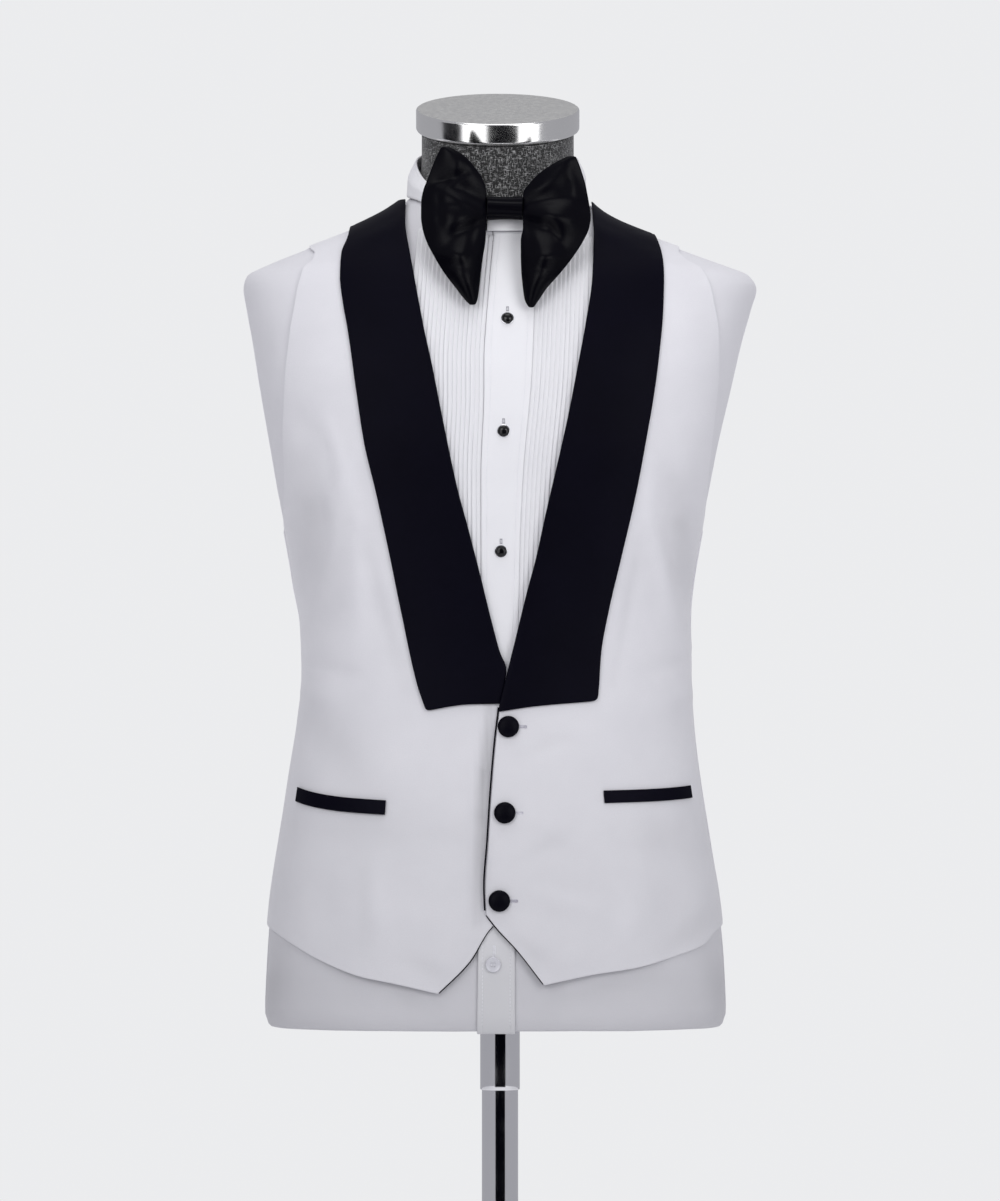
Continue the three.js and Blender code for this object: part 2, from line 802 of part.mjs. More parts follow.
// Waistcoat

function waistcoatRows() {
  const level = [...ROW_HEIGHTS.filter((z) => z > HEM_START), ...WAISTCOAT_ARMHOLE_ROWS];
  return inOrder([HEM_START, ...level, ...OVER_SHOULDER_ROWS]).reverse();
}

function frontSpots(side) {
  const right = side < 0;
  const roll = curve(right ? RIGHT_ROLL_EDGE : LEFT_ROLL_EDGE, "z", "x");
  const closing = curve(right ? RIGHT_FRONT_EDGE : LEFT_FRONT_EDGE, "z", "x");
  const setBack = 1.8;
  const vTip = right ? V_TIP.right : V_TIP.left;
  const besidePiping = right ? 0 : PIPING_WIDTH + 0.5;
  const innerTurn = (z) => {
    const x = z > vTip ? roll(z) + side * setBack : closing(z) + besidePiping;
    return turnAt(x, z, waistcoatLift(0));
  };
  const armhole = right ? "rightTurn" : "leftTurn";
  const outerTurn = (z) => {
    return side * radians(armholeTurn(WAISTCOAT_ARMHOLE, armhole, z) - WAISTCOAT_SEAM_TURN);
  };
  const columns = right ? RIGHT_COLUMNS : LEFT_COLUMNS;
  const hem = straight(right ? RIGHT_HEM : LEFT_HEM, "turn", "z");
  const spotAt = (share, z) => ({ turn: mix(innerTurn(z), outerTurn(z), share), z });
  const spots = waistcoatRows().map((z) => columns.map((share) => spotAt(share, z)));
  for (const down of [0.5, 1]) {
    spots.push(
      columns.map((share) => {
        const aim = spotAt(share, HEM_START);
        const low = hem((side * aim.turn * 180) / Math.PI);
        return spotAt(share, mix(HEM_START, low, down));
      }),
    );
  }
  return spots;
}

function waistcoatBackSpots() {
  const neckHeight = curve(BACK_NECK, "turn", "z");
  const above = ROW_HEIGHTS.filter((z) => z > BACK_HEM);
  const level = inOrder([BACK_HEM, ...above, ...WAISTCOAT_ARMHOLE_ROWS, SHOULDER_FOOT]);
  const rows = level.map((z) => () => z);
  for (const share of [0.12, 0.22, 0.31, 0.4, 0.52, 0.67, 0.83, 1]) {
    rows.push((degrees) => mix(SHOULDER_FOOT, neckHeight(degrees), share));
  }
  const half = [0, 0.06, 0.12, 0.19, 0.26, 0.34, 0.42, 0.5];
  const shares = [...half, ...half.slice(0, -1).map((share) => 1 - share).reverse()];
  return rows.reverse().map((height) =>
    shares.map((share) => {
      const edge = armholeTurn(WAISTCOAT_ARMHOLE, "backTurn", height(90)) + WAISTCOAT_SEAM_TURN;
      const degrees = mix(edge, 360 - edge, share);
      return { turn: radians(degrees), z: height(Math.min(degrees, 360 - degrees)) };
    }),
  );
}

function lapelSpots(side) {
  const right = side < 0;
  const roll = curve(right ? RIGHT_ROLL_EDGE : LEFT_ROLL_EDGE, "z", "x");
  const outer = curve(right ? RIGHT_LAPEL_OUTER : LEFT_LAPEL_OUTER, "z", "x");
  const bottom = curve(LAPEL_BOTTOM, "share", right ? "right" : "left");
  const lift = waistcoatLift(0) + WAISTCOAT_CLOTH + LAPEL_GAP;
  const shares = [0, 0.19, 0.38, 0.56, 0.73, 0.88, 1];
  const spotAt = (share, z) => {
    const turn = mix(turnAt(roll(z), z, lift), turnAt(outer(z), z, lift), share);
    return { turn, z };
  };
  const level = [...ROW_HEIGHTS.filter((z) => z >= LAPEL_LOWEST_ROW), ...OVER_SHOULDER_ROWS];
  const spots = level.reverse().map((z) => shares.map((share) => spotAt(share, z)));
  spots.push(shares.map((share) => spotAt(share, mix(LAPEL_LOWEST_ROW, bottom(share), 0.5))));
  spots.push(shares.map((share) => spotAt(share, bottom(share))));
  return spots;
}

function pipingSpots() {
  const edge = curve(LEFT_FRONT_EDGE, "z", "x");
  const heights = [1048, 1015, 950, HEM_START, 889.5, 881];
  return heights.map((z) =>
    [0, PIPING_WIDTH].map((out) => ({ turn: turnAt(edge(z) + out, z, waistcoatLift(0)), z })),
  );
}

function weltSpots(row) {
  const shares = [0, 0.2, 0.4, 0.6, 0.8, 1];
  return [0, 1].map((down) =>
    shares.map((share) => ({
      turn: row.side * radians(mix(row.nearTurn, row.farTurn, share)),
      z: mix(row.nearTop, row.farTop, share) - row.height * down,
    })),
  );
}

function addWaistcoat() {
  for (const [word, side] of [["left", 1], ["right", -1]]) {
    const cloth = clothWall(frontSpots(side), frontLift(side), WAISTCOAT_CLOTH);
    addPiece("waistcoat_front_" + word, cloth, "waistcoat");
    const lapel = clothWall(lapelSpots(side), onWaistcoat(side, LAPEL_GAP), LAPEL_CLOTH);
    addPiece("lapel_" + word, lapel, "satin");
    const row = WELTS.find((welt) => welt.side === side);
    const welt = clothWall(weltSpots(row), onWaistcoat(side, LAYER_GAP), WELT_CLOTH);
    addPiece("welt_" + word, welt, "satin");
  }
  const back = clothWall(waistcoatBackSpots(), () => WAISTCOAT_BACK_LIFT, WAISTCOAT_CLOTH);
  addPiece("waistcoat_back", back, "waistcoat");
  addPiece("front_edge_piping", clothWall(pipingSpots(), frontLift(1), PIPING_CLOTH), "satin");
}

// Buttons and studs

function addOnSurface(name, profile, finish, place, lift) {
  const turn = turnAt(place.x, place.z, lift);
  const mesh = addPiece(name, turned(profile, BUTTON_SIDES), finish);
  mesh.position.copy(onForm(turn, place.z, lift));
  mesh.quaternion.setFromUnitVectors(new THREE.Vector3(0, 0, 1), formNormal(turn, place.z));
}

function addButtons() {
  const frontFace = WAISTCOAT_FRONT_LIFT + OVERLAP_RISE + WAISTCOAT_CLOTH + SEAT_GAP;
  WAISTCOAT_BUTTONS.forEach((place, i) => {
    addOnSurface("waistcoat_button_" + (i + 1), COVERED_BUTTON_PROFILE, "satin", place, frontFace);
  });
  const placketFace = BIB_LIFT + PLACKET_CLOTH + SEAT_GAP;
  STUDS.forEach((place, i) => {
    addOnSurface("stud_" + (i + 1), STUD_PROFILE, "satin", place, placketFace);
  });
  addOnSurface("shirt_button", SHIRT_BUTTON_PROFILE, "clear", SHIRT_BUTTON, placketFace);
}

// Bow tie

// How far a wing stands out at a place: it swells in the middle and folds run out from the knot
function wingRise(x, z, share, down) {
  const swell = WING_SWELL * Math.sin(Math.PI * share) * Math.sin(Math.PI * down) ** 0.6;
  const away = Math.hypot(x - KNOT.x, z - KNOT.z);
  const heading = (Math.atan2(z - KNOT.z, Math.abs(x - KNOT.x)) * 180) / Math.PI;
  const strength = Math.min(1, away / 40) * Math.sin(Math.PI * Math.min(1, 0.15 + 0.85 * share));
  let folds = 0;
  for (const fold of WING_FOLDS) {
    const off = (heading - fold.heading) / fold.width;
    folds += fold.rise * Math.exp(-off * off) * strength;
  }
  return swell + folds;
}

function wingGrid(rows, depth) {
  const faceY = curve(WING_FACE, "z", "y");
  const top = rows[0].z;
  const height = top - rows[rows.length - 1].z;
  return rows.map((row) =>
    Array.from({ length: WING_COLUMNS + 1 }, (_, i) => {
      const share = i / WING_COLUMNS;
      const x = mix(row.near, row.far, share);
      const down = (top - row.z) / height;
      return new THREE.Vector3(x, faceY(row.z) - wingRise(x, row.z, share, down) - depth, row.z);
    }),
  );
}

// The knot is a band wrapped round the gathered middle, open at both sides for the wings
function knotRings(inset) {
  const collarFront = onForm(0, KNOT.z - 14, SHIRT_LIFT + SHIRT_CLOTH + LAYER_GAP + COLLAR_CLOTH).y;
  const middleY = collarFront - KNOT.backGap - KNOT.halfDepth;
  return KNOT_STATIONS.map((station) =>
    Array.from({ length: KNOT_SIDES }, (_, i) => {
      const angle = (2 * Math.PI * i) / KNOT_SIDES;
      const square = (value) => Math.sign(value) * Math.abs(value) ** 0.75;
      const y = middleY + (KNOT.halfDepth - inset) * square(Math.cos(angle));
      const z = KNOT.z + (KNOT.halfHeight * station.scale - inset) * square(Math.sin(angle));
      return new THREE.Vector3(KNOT.x + KNOT.halfWidth * station.share, y, z);
    }),
  );
}

function addBow() {
  for (const [name, rows] of [["bow_wing_left", LEFT_WING], ["bow_wing_right", RIGHT_WING]]) {
    addPiece(name, wall(wingGrid(rows, BOW_CLOTH), wingGrid(rows, 0)), "satin");
  }
  const rings = [...knotRings(0), ...knotRings(BOW_CLOTH).reverse()];
  addPiece("bow_knot", ringSolid(rings, true), "satin");
}

// Dress form and stand

function addForm() {
  const rows = [...NECK_ROWS.slice().reverse(), ...SHOULDER_ROWS.slice().reverse()];
  rows.push(...ROW_HEIGHTS.slice().reverse(), FORM_BOTTOM);
  const turns = Array.from({ length: FORM_COLUMNS }, (_, i) => (2 * Math.PI * i) / FORM_COLUMNS);
  const rings = rows.map((z) => turns.map((turn) => formPoint(turn, z)));
  const boreRadius = TUBE_RADIUS + SEAT_GAP;
  for (const z of [FORM_BOTTOM, TUBE_TOP + SEAT_GAP]) {
    const onBore = (turn) =>
      new THREE.Vector3(boreRadius * Math.sin(turn), -boreRadius * Math.cos(turn), z);
    rings.push(turns.map(onBore));
  }
  addPiece("form_torso", ringSolid(rings, false), "tweed");
  const cap = addPiece("neck_cap", turned(CAP_PROFILE, ROUND_SIDES), "chrome");
  const neckMiddle = SECTION_CURVES[SECTION_COLUMNS.indexOf("shift")](NECK_TOP);
  cap.rotation.x = radians(CAP_TILT);
  cap.position.set(neckMiddle, 0, NECK_TOP + SEAT_GAP);
}

function addStand() {
  const boreInside = POLE_RADIUS + RUNNING_GAP;
  const closedTop = 6;
  const tube = [
    [0, TUBE_TOP - closedTop],
    [boreInside, TUBE_TOP - closedTop],
    [boreInside, TUBE_BOTTOM],
    [TUBE_RADIUS, TUBE_BOTTOM],
    [TUBE_RADIUS, TUBE_TOP],
    [0, TUBE_TOP],
  ];
  addPiece("upper_tube", turned(tube, ROUND_SIDES), "chrome");
  const poleFoot = POLE_SOCKET_FLOOR + SEAT_GAP;
  const pole = [
    [POLE_RADIUS - POLE_WALL, poleFoot],
    [POLE_RADIUS, poleFoot],
    [POLE_RADIUS, POLE_TOP],
    [POLE_RADIUS - POLE_WALL, POLE_TOP],
  ];
  addPiece("lower_pole", turned(pole, ROUND_SIDES), "chrome");
  const base = [
    [0, 0],
    [BASE_RADIUS, 0],
    [BASE_RADIUS, BASE_RIM],
    [BASE_RADIUS * 0.9, BASE_RIM + 3.5],
    [BASE_RADIUS * 0.5, BASE_RIM + 8],
    [BASE_HUB_RADIUS + 8, BASE_RIM + 10],
    [BASE_HUB_RADIUS, BASE_RIM + 16],
    [BASE_HUB_RADIUS - 2, BASE_HUB_TOP],
    [boreInside, BASE_HUB_TOP],
    [boreInside, POLE_SOCKET_FLOOR],
    [0, POLE_SOCKET_FLOOR],
  ];
  addPiece("stand_base", turned(base, ROUND_SIDES), "chrome");
}

addShirt();
addCollar();
addWaistcoat();
addButtons();
addBow();
addForm();
addStand();

export default group;
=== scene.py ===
# Tuxedo waistcoat, pleated shirt and bow tie on a dress form: the looks.
# Tables and lengths are in millimetres, +Z up, the front faces -Y and left is the wearer's, +X.
import math

import bpy
import numpy as np
from mathutils import Matrix, Vector


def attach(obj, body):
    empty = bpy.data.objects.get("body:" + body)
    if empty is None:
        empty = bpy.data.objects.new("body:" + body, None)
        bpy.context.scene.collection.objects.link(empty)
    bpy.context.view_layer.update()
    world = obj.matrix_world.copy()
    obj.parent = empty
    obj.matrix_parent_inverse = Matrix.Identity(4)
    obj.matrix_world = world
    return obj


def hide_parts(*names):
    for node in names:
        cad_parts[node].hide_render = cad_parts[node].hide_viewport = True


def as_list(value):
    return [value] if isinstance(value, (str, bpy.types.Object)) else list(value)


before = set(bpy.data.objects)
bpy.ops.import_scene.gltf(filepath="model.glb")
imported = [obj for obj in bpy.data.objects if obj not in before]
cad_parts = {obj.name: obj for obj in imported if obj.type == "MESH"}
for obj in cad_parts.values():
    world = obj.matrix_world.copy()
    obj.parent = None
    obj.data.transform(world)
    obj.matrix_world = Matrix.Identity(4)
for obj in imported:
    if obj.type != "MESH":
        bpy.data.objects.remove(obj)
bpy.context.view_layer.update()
bpy.ops.object.select_all(action="DESELECT")

MM = 0.001
CLOTHED = "dressed_form"

SIDES = ((1, "left"), (-1, "right"))

# How far each layer stands off the form, and its thickness
SHIRT_LIFT = 1.6
SHIRT_BACK_LIFT = 2.0
SHIRT_CLOTH = 1.2
BIB_LIFT = 3.5
BIB_CLOTH = 1.0
TUCK_COUNT = 17
TUCK_PITCH = 3.9
TUCK_RISE = 1.15
PLACKET_CLOTH = 1.6
WAISTCOAT_SIDE_LIFT = 3.5
WAISTCOAT_BACK_LIFT = 4.6
WAISTCOAT_FRONT_LIFT = 6.6
WAISTCOAT_CLOTH = 1.8
OVERLAP_RISE = 2.6
LAYER_GAP = 0.6
LAPEL_GAP = 1.0
LAPEL_CLOTH = 1.8
COLLAR_CLOTH = 2.2
BOW_CLOTH = 2.4
SHIRT_SEAM_TURN = 0.11
WAISTCOAT_SEAM_TURN = 0.04
PIPING_WIDTH = 1.5
PIPING_CLOTH = 1.7
FACING_SHADOW_LINE_CLOTH = 0.5
WELT_CLOTH = 1.4
BUTTON_GAP = 0.3
# Edges and seams
SEAM_ROUNDING = 0.25
TUCK_CLEARANCE = {1: 0.1, -1: 0.3}
PLACKET_WIDTH = 38.0
COLLAR_HEIGHT = 42
STITCHES_FROM_EDGE = 5
STITCH_PITCH = 3.2
STITCH_LENGTH = 2.3
STITCH_RADIUS = 0.2
# Turns in degrees where the waistcoat comes down off the bib, and where the left front's overlap ends
BIB_SIDE_START = 28
BIB_SIDE_END = 50
OVERLAP_FULL = 7
OVERLAP_END = 25

# Heights, and the power of the form's section behind
FORM_BOTTOM = 776
SHIRT_BOTTOM = FORM_BOTTOM + 2
NECK_TOP = 1568.5
BIB_BOTTOM = 1085
PLACKET_TOP = 1469
SHOULDER_FOOT = 1440
SHIRT_FOLDS_END = 1460
WAISTCOAT_FOLDS_END = 1470
CLOTH_TOP = 1500
YOKE_LINE = 1410
HEM_START = 900
BACK_HEM = 868
V_TIP = {1: 1056, -1: 1090}
BACK_POWER = 2.35
# How deep the folds may sink into the cloth below
FRONT_FLOOR = -1.5
BACK_FLOOR = -1.3
SHIRT_FLOOR = -0.5
# Radius of the curve that measures distances round the back
BACK_REACH = 150

# Stand
BASE_RADIUS = 180
BASE_RIM = 6
BASE_HUB_RADIUS = 26
BASE_HUB_TOP = 46
POLE_RADIUS = 16
POLE_FOOT = 10.3
POLE_TOP = 1070
TUBE_RADIUS = 17.5
TUBE_BOTTOM = 720
TUBE_TOP = 1320
CAP_TILT = 17.5
CAP_SHIFT = -2
SLIDE_GAP = 0.05

# Height, half width, depth in front and behind, shift, power, lean
FORM_SECTIONS = [
    (776, 190, 99, 101, -4, 2.4, 0),
    (778, 195.5, 104.5, 106.5, -4, 2.4, 0),
    (783, 199.5, 108.5, 110.5, -4, 2.4, 0),
    (790, 200.5, 110, 112, -4, 2.4, 0),
    (830, 199, 113, 117, -4, 2.4, 0),
    (880, 195, 115, 118, -4.5, 2.4, 0),
    (930, 187.5, 113, 112, -5, 2.4, 0),
    (990, 178, 108, 101, -5, 2.4, 0),
    (1045, 170.5, 104, 91, -4, 2.4, 0),
    (1085, 167.5, 103, 86, -3, 2.4, 0),
    (1130, 168, 105, 86, -4, 2.45, 0),
    (1170, 173, 109, 90, -6, 2.55, 0),
    (1205, 179, 113, 95, -6, 2.7, 0),
    (1240, 186, 117, 101, -6, 2.85, 0),
    (1290, 195.5, 121.5, 109, -5.5, 3.0, 0),
    (1340, 206, 119, 114, -4, 3.0, 0),
    (1380, 214, 111, 115, -2.5, 2.95, 0),
    (1410, 221, 101, 112, -1, 2.8, 0),
    (1428, 224.5, 94, 107, 0, 2.6, 0),
    (1437, 221, 90, 104, -1.5, 2.45, 0),
    (1446, 202, 86.5, 100.5, -4, 2.3, 0),
    (1455, 179, 83, 97, -5.5, 2.2, 0),
    (1464, 155, 80, 93, -6, 2.15, 0),
    (1473, 131, 77, 89, -6.5, 2.1, 0),
    (1482, 110, 74.5, 85.5, -7, 2.05, 0),
    (1492, 92, 72, 81.5, -6, 2, 0),
    (1503, 78.5, 70, 78, -4, 2, 0),
    (1515, 70.5, 68.5, 73, -2.5, 2, 2),
    (1530, 68, 67.5, 69, -2, 2, 8),
    (1548, 67.5, 67.5, 67.5, -2, 2, 14),
    (1568.5, 67.5, 67.5, 67.5, -2, 2, 17.5),
]
# Turn, height
NECK_SEAM = [
    (0, 1471), (11, 1471.4), (18, 1476), (30, 1486.5), (45, 1497), (60, 1502), (75, 1505),
    (90, 1508), (110, 1514), (140, 1521), (180, 1524),
]
COLLAR_TOP = [(0, 1499), (30, 1505), (60, 1521), (90, 1542), (120, 1553), (180, 1561)]
COLLAR_TOP_RING = {"half_width": 77, "front": 77.5, "back": 76.5, "shift": -2.5}
# Its closing edge and gap as turns, the slant of that edge, and the top's lean to the neck
COLLAR_START = -3.2
COLLAR_GAP = 0.5
COLLAR_SLANT = 2.2
COLLAR_LEAN = 7.5
# Height, front turn, back turn
SHIRT_ARMHOLE = [
    (1238, 90, 90), (1255, 84, 103), (1290, 79, 114), (1340, 77.5, 118), (1380, 78, 116),
    (1410, 80, 109), (1425, 84, 100), (1432, 90, 90),
]
BIB_TOP = {"middle": 1494, "side": 1458, "from_x": 50, "to_x": 92, "under_seam": 3.6}
# Height, right x, left x
PLACKET_EDGES = [
    (770, -20, 13), (847, -19, 13), (1184, -16.4, 17), (1257, -16.4, 20), (1330, -13.8, 26.5),
    (1353, -13.8, 28), (1409, -10.5, 30), (1480, -4.4, 31),
]
# Height, x by side: the lapel's inner edge down to the tip of the V
ROLL_EDGE = {
    1: [
        (1057, -0.9), (1071, 2.6), (1090, 6.9), (1119, 13.9), (1155, 22.5), (1187, 31), (1219, 38),
        (1260, 47.5), (1304, 57.9), (1343, 65.7), (1384, 73.7), (1425, 80), (1455, 81.6),
        (1500, 83),
    ],
    -1: [
        (1057, -0.3), (1071, 3.0), (1090, 5.6), (1104, 0.2), (1123, -5.0), (1172, -17.1),
        (1187, -20.9), (1215, -28.2), (1242, -35.6), (1300, -48.4), (1347, -57.9), (1382, -65.8),
        (1414, -72), (1449, -78.5), (1475, -83), (1500, -85),
    ],
}
FRONT_EDGE = {
    1: [(879, -13.8), (901, -14.7), (940, -12), (980, -9.5), (1030, -5.2), (1054, -2.2)],
    -1: [(800, 15), (980, 13), (1057, 10), (1090, 6.5)],
}
LAPEL_OUTER = {
    1: [
        (1060, 83), (1067, 85), (1104, 87.6), (1143, 94.6), (1183, 104), (1241, 117.5),
        (1288, 126.6), (1327, 133.5), (1368, 139), (1400, 142), (1431, 143), (1450, 142),
        (1461, 139.5), (1478, 134),
    ],
    -1: [
        (1052, -63.5), (1060, -66.5), (1077, -72), (1146, -86.7), (1193, -96.2), (1246, -107.8),
        (1287, -117.7), (1327, -124), (1381, -132), (1405, -136.6), (1429, -139.5), (1448, -139),
        (1467, -134), (1478, -133),
    ],
}
# Share of the lapel's width, height
LAPEL_BOTTOM = {
    1: [(0, 1052), (0.4, 1057), (1, 1061.5)],
    -1: [(0, 1059), (0.4, 1058.5), (1, 1052.8)],
}
LAPEL_LOWEST_ROW = 1085
# Height, right turn, left turn, back turn
WAISTCOAT_ARMHOLE = [
    (1212, 90, 90, 90), (1222, 76, 77, 105), (1247, 64, 68, 118), (1272, 59, 64, 124),
    (1300, 56, 61, 128), (1327, 53, 58.5, 130), (1355, 50.5, 56, 131), (1385, 48, 53, 131),
    (1412, 46, 49.5, 129), (1430, 45.5, 48, 126), (1442, 47, 50, 121), (1452, 54, 57, 111),
    (1459, 70, 72, 100), (1463, 90, 90, 90),
]
# Turn, height, with the tip at the lowest
HEM = {
    -1: [
        (-8, 893), (1.3, 864.5), (6.2, 837), (13.9, 809.4), (24.8, 818), (33.1, 823.5), (44.6, 836),
        (57.5, 851), (68.8, 860), (90, 868),
    ],
    1: [
        (-2.7, 879), (0.3, 866), (5.1, 848), (11.8, 817), (23.7, 825.5), (34.8, 831), (46.7, 840),
        (59.1, 849), (69.7, 861), (90, 868),
    ],
}
# The hem's cut-away edges where the black facing shows, a strip that is partly facing and partly a
# painted shadow line under the hem: first and last turn in degrees
FACING_SHADOW_LINE = {1: (-2.2, 11.6), -1: (0.5, 13.7)}
PIPING_ENDS = (881, 1056)
BACK_NECK = [(90, 1500), (120, 1503), (150, 1504), (180, 1504)]
# Near turn, far turn, top edge at both ends, height, sag
WELTS = {-1: (29, 64, 975, 986.5, 12.6, 1.6), 1: (29.5, 63.8, 983.5, 988, 11, 0.5)}
WAISTCOAT_BUTTONS = [(7.2, 1039), (4.1, 964), (-0.6, 889)]
STUDS = [(6.5, 1392), (3.1, 1295), (0.9, 1192)]
SHIRT_BUTTON = (-6, 834.5)

# The bow: height, far x, near x by rows from the upper corner to the tip
WINGS = {
    -1: [
        (1544.2, -51.2, -44.2), (1536, -55.5, -30.5), (1526, -59.7, -21.5), (1515.6, -63.6, -14.7),
        (1507, -66.8, -12.2), (1497, -68.5, -11.8), (1484, -68.6, -11.8), (1474, -67.4, -12.2),
        (1462, -64, -12.8), (1448, -57, -15), (1434, -48.5, -16.8), (1420, -37.8, -18.4),
        (1410, -30, -19.8), (1405.6, -25.6, -21.6),
    ],
    1: [
        (1536.2, 66, 58.5), (1529, 69.2, 45), (1520.5, 72, 33), (1512, 74.5, 25),
        (1505, 75.8, 20.3), (1497, 77.2, 20), (1484, 78.9, 20), (1474, 77.5, 20),
        (1462, 72.3, 18.2), (1448, 63.5, 18.3), (1434, 52.5, 18.8), (1420, 40.2, 20.2),
        (1410, 33.5, 21.7), (1403.4, 29, 25),
    ],
}
WING_FACE = [
    (1400, -115), (1420, -113), (1450, -106), (1480, -96), (1497, -92.5), (1520, -93), (1545, -96),
]
WING_SWELL = 13
# Heading, width and rise of the folds that run out from the knot
WING_FOLDS = [(62, 16, 2.5), (22, 15, -3.5), (-8, 16, 3.5), (-32, 13, -3.5), (-58, 15, 2.5)]
KNOT = {
    "x": 4.1, "z": 1491.6, "collar_z": 1476, "half_width": 15.4, "half_height": 10.2, "half_depth": 8.4
}
KNOT_BACK_GAP = 0.4

# Soft troughs and ridges. Each runs from x, height to x, height, with a width and a rise.
FRONT_CREASES = [
    (-175, 1313, -143, 1258, 11, -2.2), (-186, 1260, -152, 1150, 24, -2.4),
    (-140, 1226, -160, 1136, 9, 2.4), (-168, 1098, -118, 1082, 7, -1.7),
    (-172, 1072, -128, 1062, 9, 1.6), (-116, 1290, -150, 1224, 10, 2.3),
    (-108, 930, -100, 830, 12, 1.7), (-150, 905, -140, 850, 14, -1.3),
    (-60, 1012, -22, 1030, 8, -1.0), (-70, 950, -20, 962, 10, 1.1), (-86, 884, -30, 892, 9, -1.0),
    (-60, 842, -40, 820, 9, 1.2), (128, 1222, 162, 1112, 8, 2.4), (160, 1240, 172, 1150, 22, -2.4),
    (168, 1100, 122, 1086, 7, -1.7), (170, 1072, 130, 1058, 8, 1.5), (40, 936, 84, 912, 9, -1.4),
    (24, 1030, 66, 1020, 8, -1.1), (20, 958, 70, 946, 9, 1.1), (16, 884, 64, 868, 9, -1.1),
    (150, 1300, 166, 1230, 11, 2.2), (118, 940, 126, 850, 13, 1.5), (150, 900, 146, 852, 14, -1.3),
    (70, 850, 50, 828, 9, 1.3), (100, 944, 150, 938, 8, 1.1),
]
# The same behind, where x is the distance round the back from its middle
BACK_CREASES = [
    (-120, 1330, -60, 1180, 16, -1.4), (110, 1320, 66, 1190, 18, -1.5),
    (-190, 1120, -110, 1088, 9, -1.3), (180, 1112, 104, 1094, 10, -1.2),
    (-176, 1088, -96, 1064, 10, 1.1), (186, 1082, 110, 1058, 9, 1.1),
    (-60, 1070, 40, 1076, 8, -0.9), (-30, 1046, 66, 1040, 8, 0.8), (-40, 1430, 30, 1424, 12, 0.8),
    (-130, 980, -118, 880, 16, 1.0), (124, 990, 136, 884, 15, 1.0),
]
SHIRT_CREASES = [
    (-196, 1400, -188, 1290, 9, 0.56), (194, 1396, 186, 1300, 9, 0.56),
    (-150, 850, -146, 782, 9, 0.48), (-92, 846, -98, 780, 10, -0.56), (-44, 842, -40, 780, 8, 0.48),
    (60, 846, 66, 780, 10, -0.56), (118, 850, 112, 782, 9, 0.56), (160, 852, 164, 782, 9, -0.48),
]
SHIRT_BACK_CREASES = [(-110, 850, -104, 780, 10, 0.8), (60, 850, 66, 780, 12, 0.8)]
BOW_CREASES = {
    -1: [
        (-16, 1489, -56, 1507, 4.5, 2.2), (-30, 1522, -60, 1510, 4.5, -2.6),
        (-53, 1500, -51, 1470, 4, -1.6), (-15, 1486, -50, 1470, 5, 1.8),
        (-22, 1478, -30, 1430, 4.5, -1.6), (-52, 1450, -26, 1447, 4.5, 1.7),
        (-46, 1440, -27, 1436, 4, -1.3), (-36, 1530, -46, 1500, 5, 1.3),
    ],
    1: [
        (24, 1494, 66, 1500, 5, -2.4), (22, 1500, 56, 1520, 5, 1.9), (42, 1478, 52, 1458, 4, -2.0),
        (22, 1486, 60, 1478, 4.5, 1.8), (24, 1478, 32, 1432, 4.5, -1.6),
        (26, 1446, 62, 1447, 4.5, 1.7), (28, 1436, 50, 1436, 4, -1.3), (60, 1524, 68, 1490, 5, 1.4),
    ],
}
# The wide soft folds. Their hollows also get painted shade and their ridges painted light, a share of
# the colour for each mm of rise.
FOLD_PAINTED_SHADE = 0.055
TUCK_PAINTED_SHADE = 0.1
# The two deepest rows beside the piping paint the shadow that the overlapping front casts
FRONT_FOLDS = [
    (-166, 1270, -152, 1140, 17, -2.4), (-172, 1240, -150, 1226, 10, -1.1),
    (-147, 1308, -121, 1222, 8, 1.1), (-121, 1222, -119, 1080, 9, 0.9),
    (-114, 1196, -80, 1070, 8, -1.4), (-180, 1068, -104, 978, 17, -1.4),
    (-186, 952, -30, 944, 20, -1.1), (-156, 878, -50, 884, 20, 0.5),
    (-117, 915, -115, 838, 6, -0.7), (-82, 838, -38, 824, 9, -1.1), (-8, 1064, -16, 960, 5, -5.8),
    (-14, 1000, -19, 872, 5, -5.0), (-150, 1390, -148, 1330, 18, 0.5),
    (152, 1250, 160, 1126, 15, -2.4), (163, 1226, 146, 1210, 9, -1.1),
    (128, 1272, 121, 1196, 8, 1.1), (134, 1196, 150, 1110, 7, 0.7), (174, 1104, 184, 930, 10, -1.8),
    (98, 947, 172, 941, 16, -1.2), (104, 898, 108, 852, 11, 0.8), (12, 922, 62, 948, 6, -0.8),
    (18, 1016, 56, 1030, 6, -0.8), (30, 898, 84, 884, 7, 0.7), (10, 858, 50, 826, 8, -1.1),
    (138, 844, 186, 876, 11, -1.4), (96, 1078, 124, 1230, 6, -1.1), (152, 1404, 160, 1310, 18, 0.7),
]
# The shirt's rows under the waistcoat's hem paint the shadow that the hem casts
SHIRT_FOLDS = [
    (-204, 778, -194, 846, 13, -2.0), (-178, 848, -112, 822, 8, -1.0),
    (-100, 816, -64, 802, 8, -1.3), (-52, 804, -28, 842, 7, -1.3), (-150, 790, -70, 784, 12, 0.4),
    (22, 850, 48, 812, 7, -1.7), (60, 808, 140, 826, 7, -0.8), (196, 778, 188, 846, 12, -1.7),
    (60, 786, 150, 790, 12, 0.4),
]

# Distances from an edge at which a cloth's mesh has a row
EDGE_STEPS = (0, 0.1, 0.35, 0.8, 1.5)
SHORT_EDGE_STEPS = EDGE_STEPS[:4]
THIN_EDGE_STEPS = (0, 0.2, 0.6, 1.2)
HEM_EDGE_STEPS = (0, 0.4, 1.2, 2.5)
WING_EDGE_STEPS = (0, 0.12, 0.4, 0.9, 1.6)
WELT_EDGE_STEPS = (*EDGE_STEPS, 2.2, 3.0)


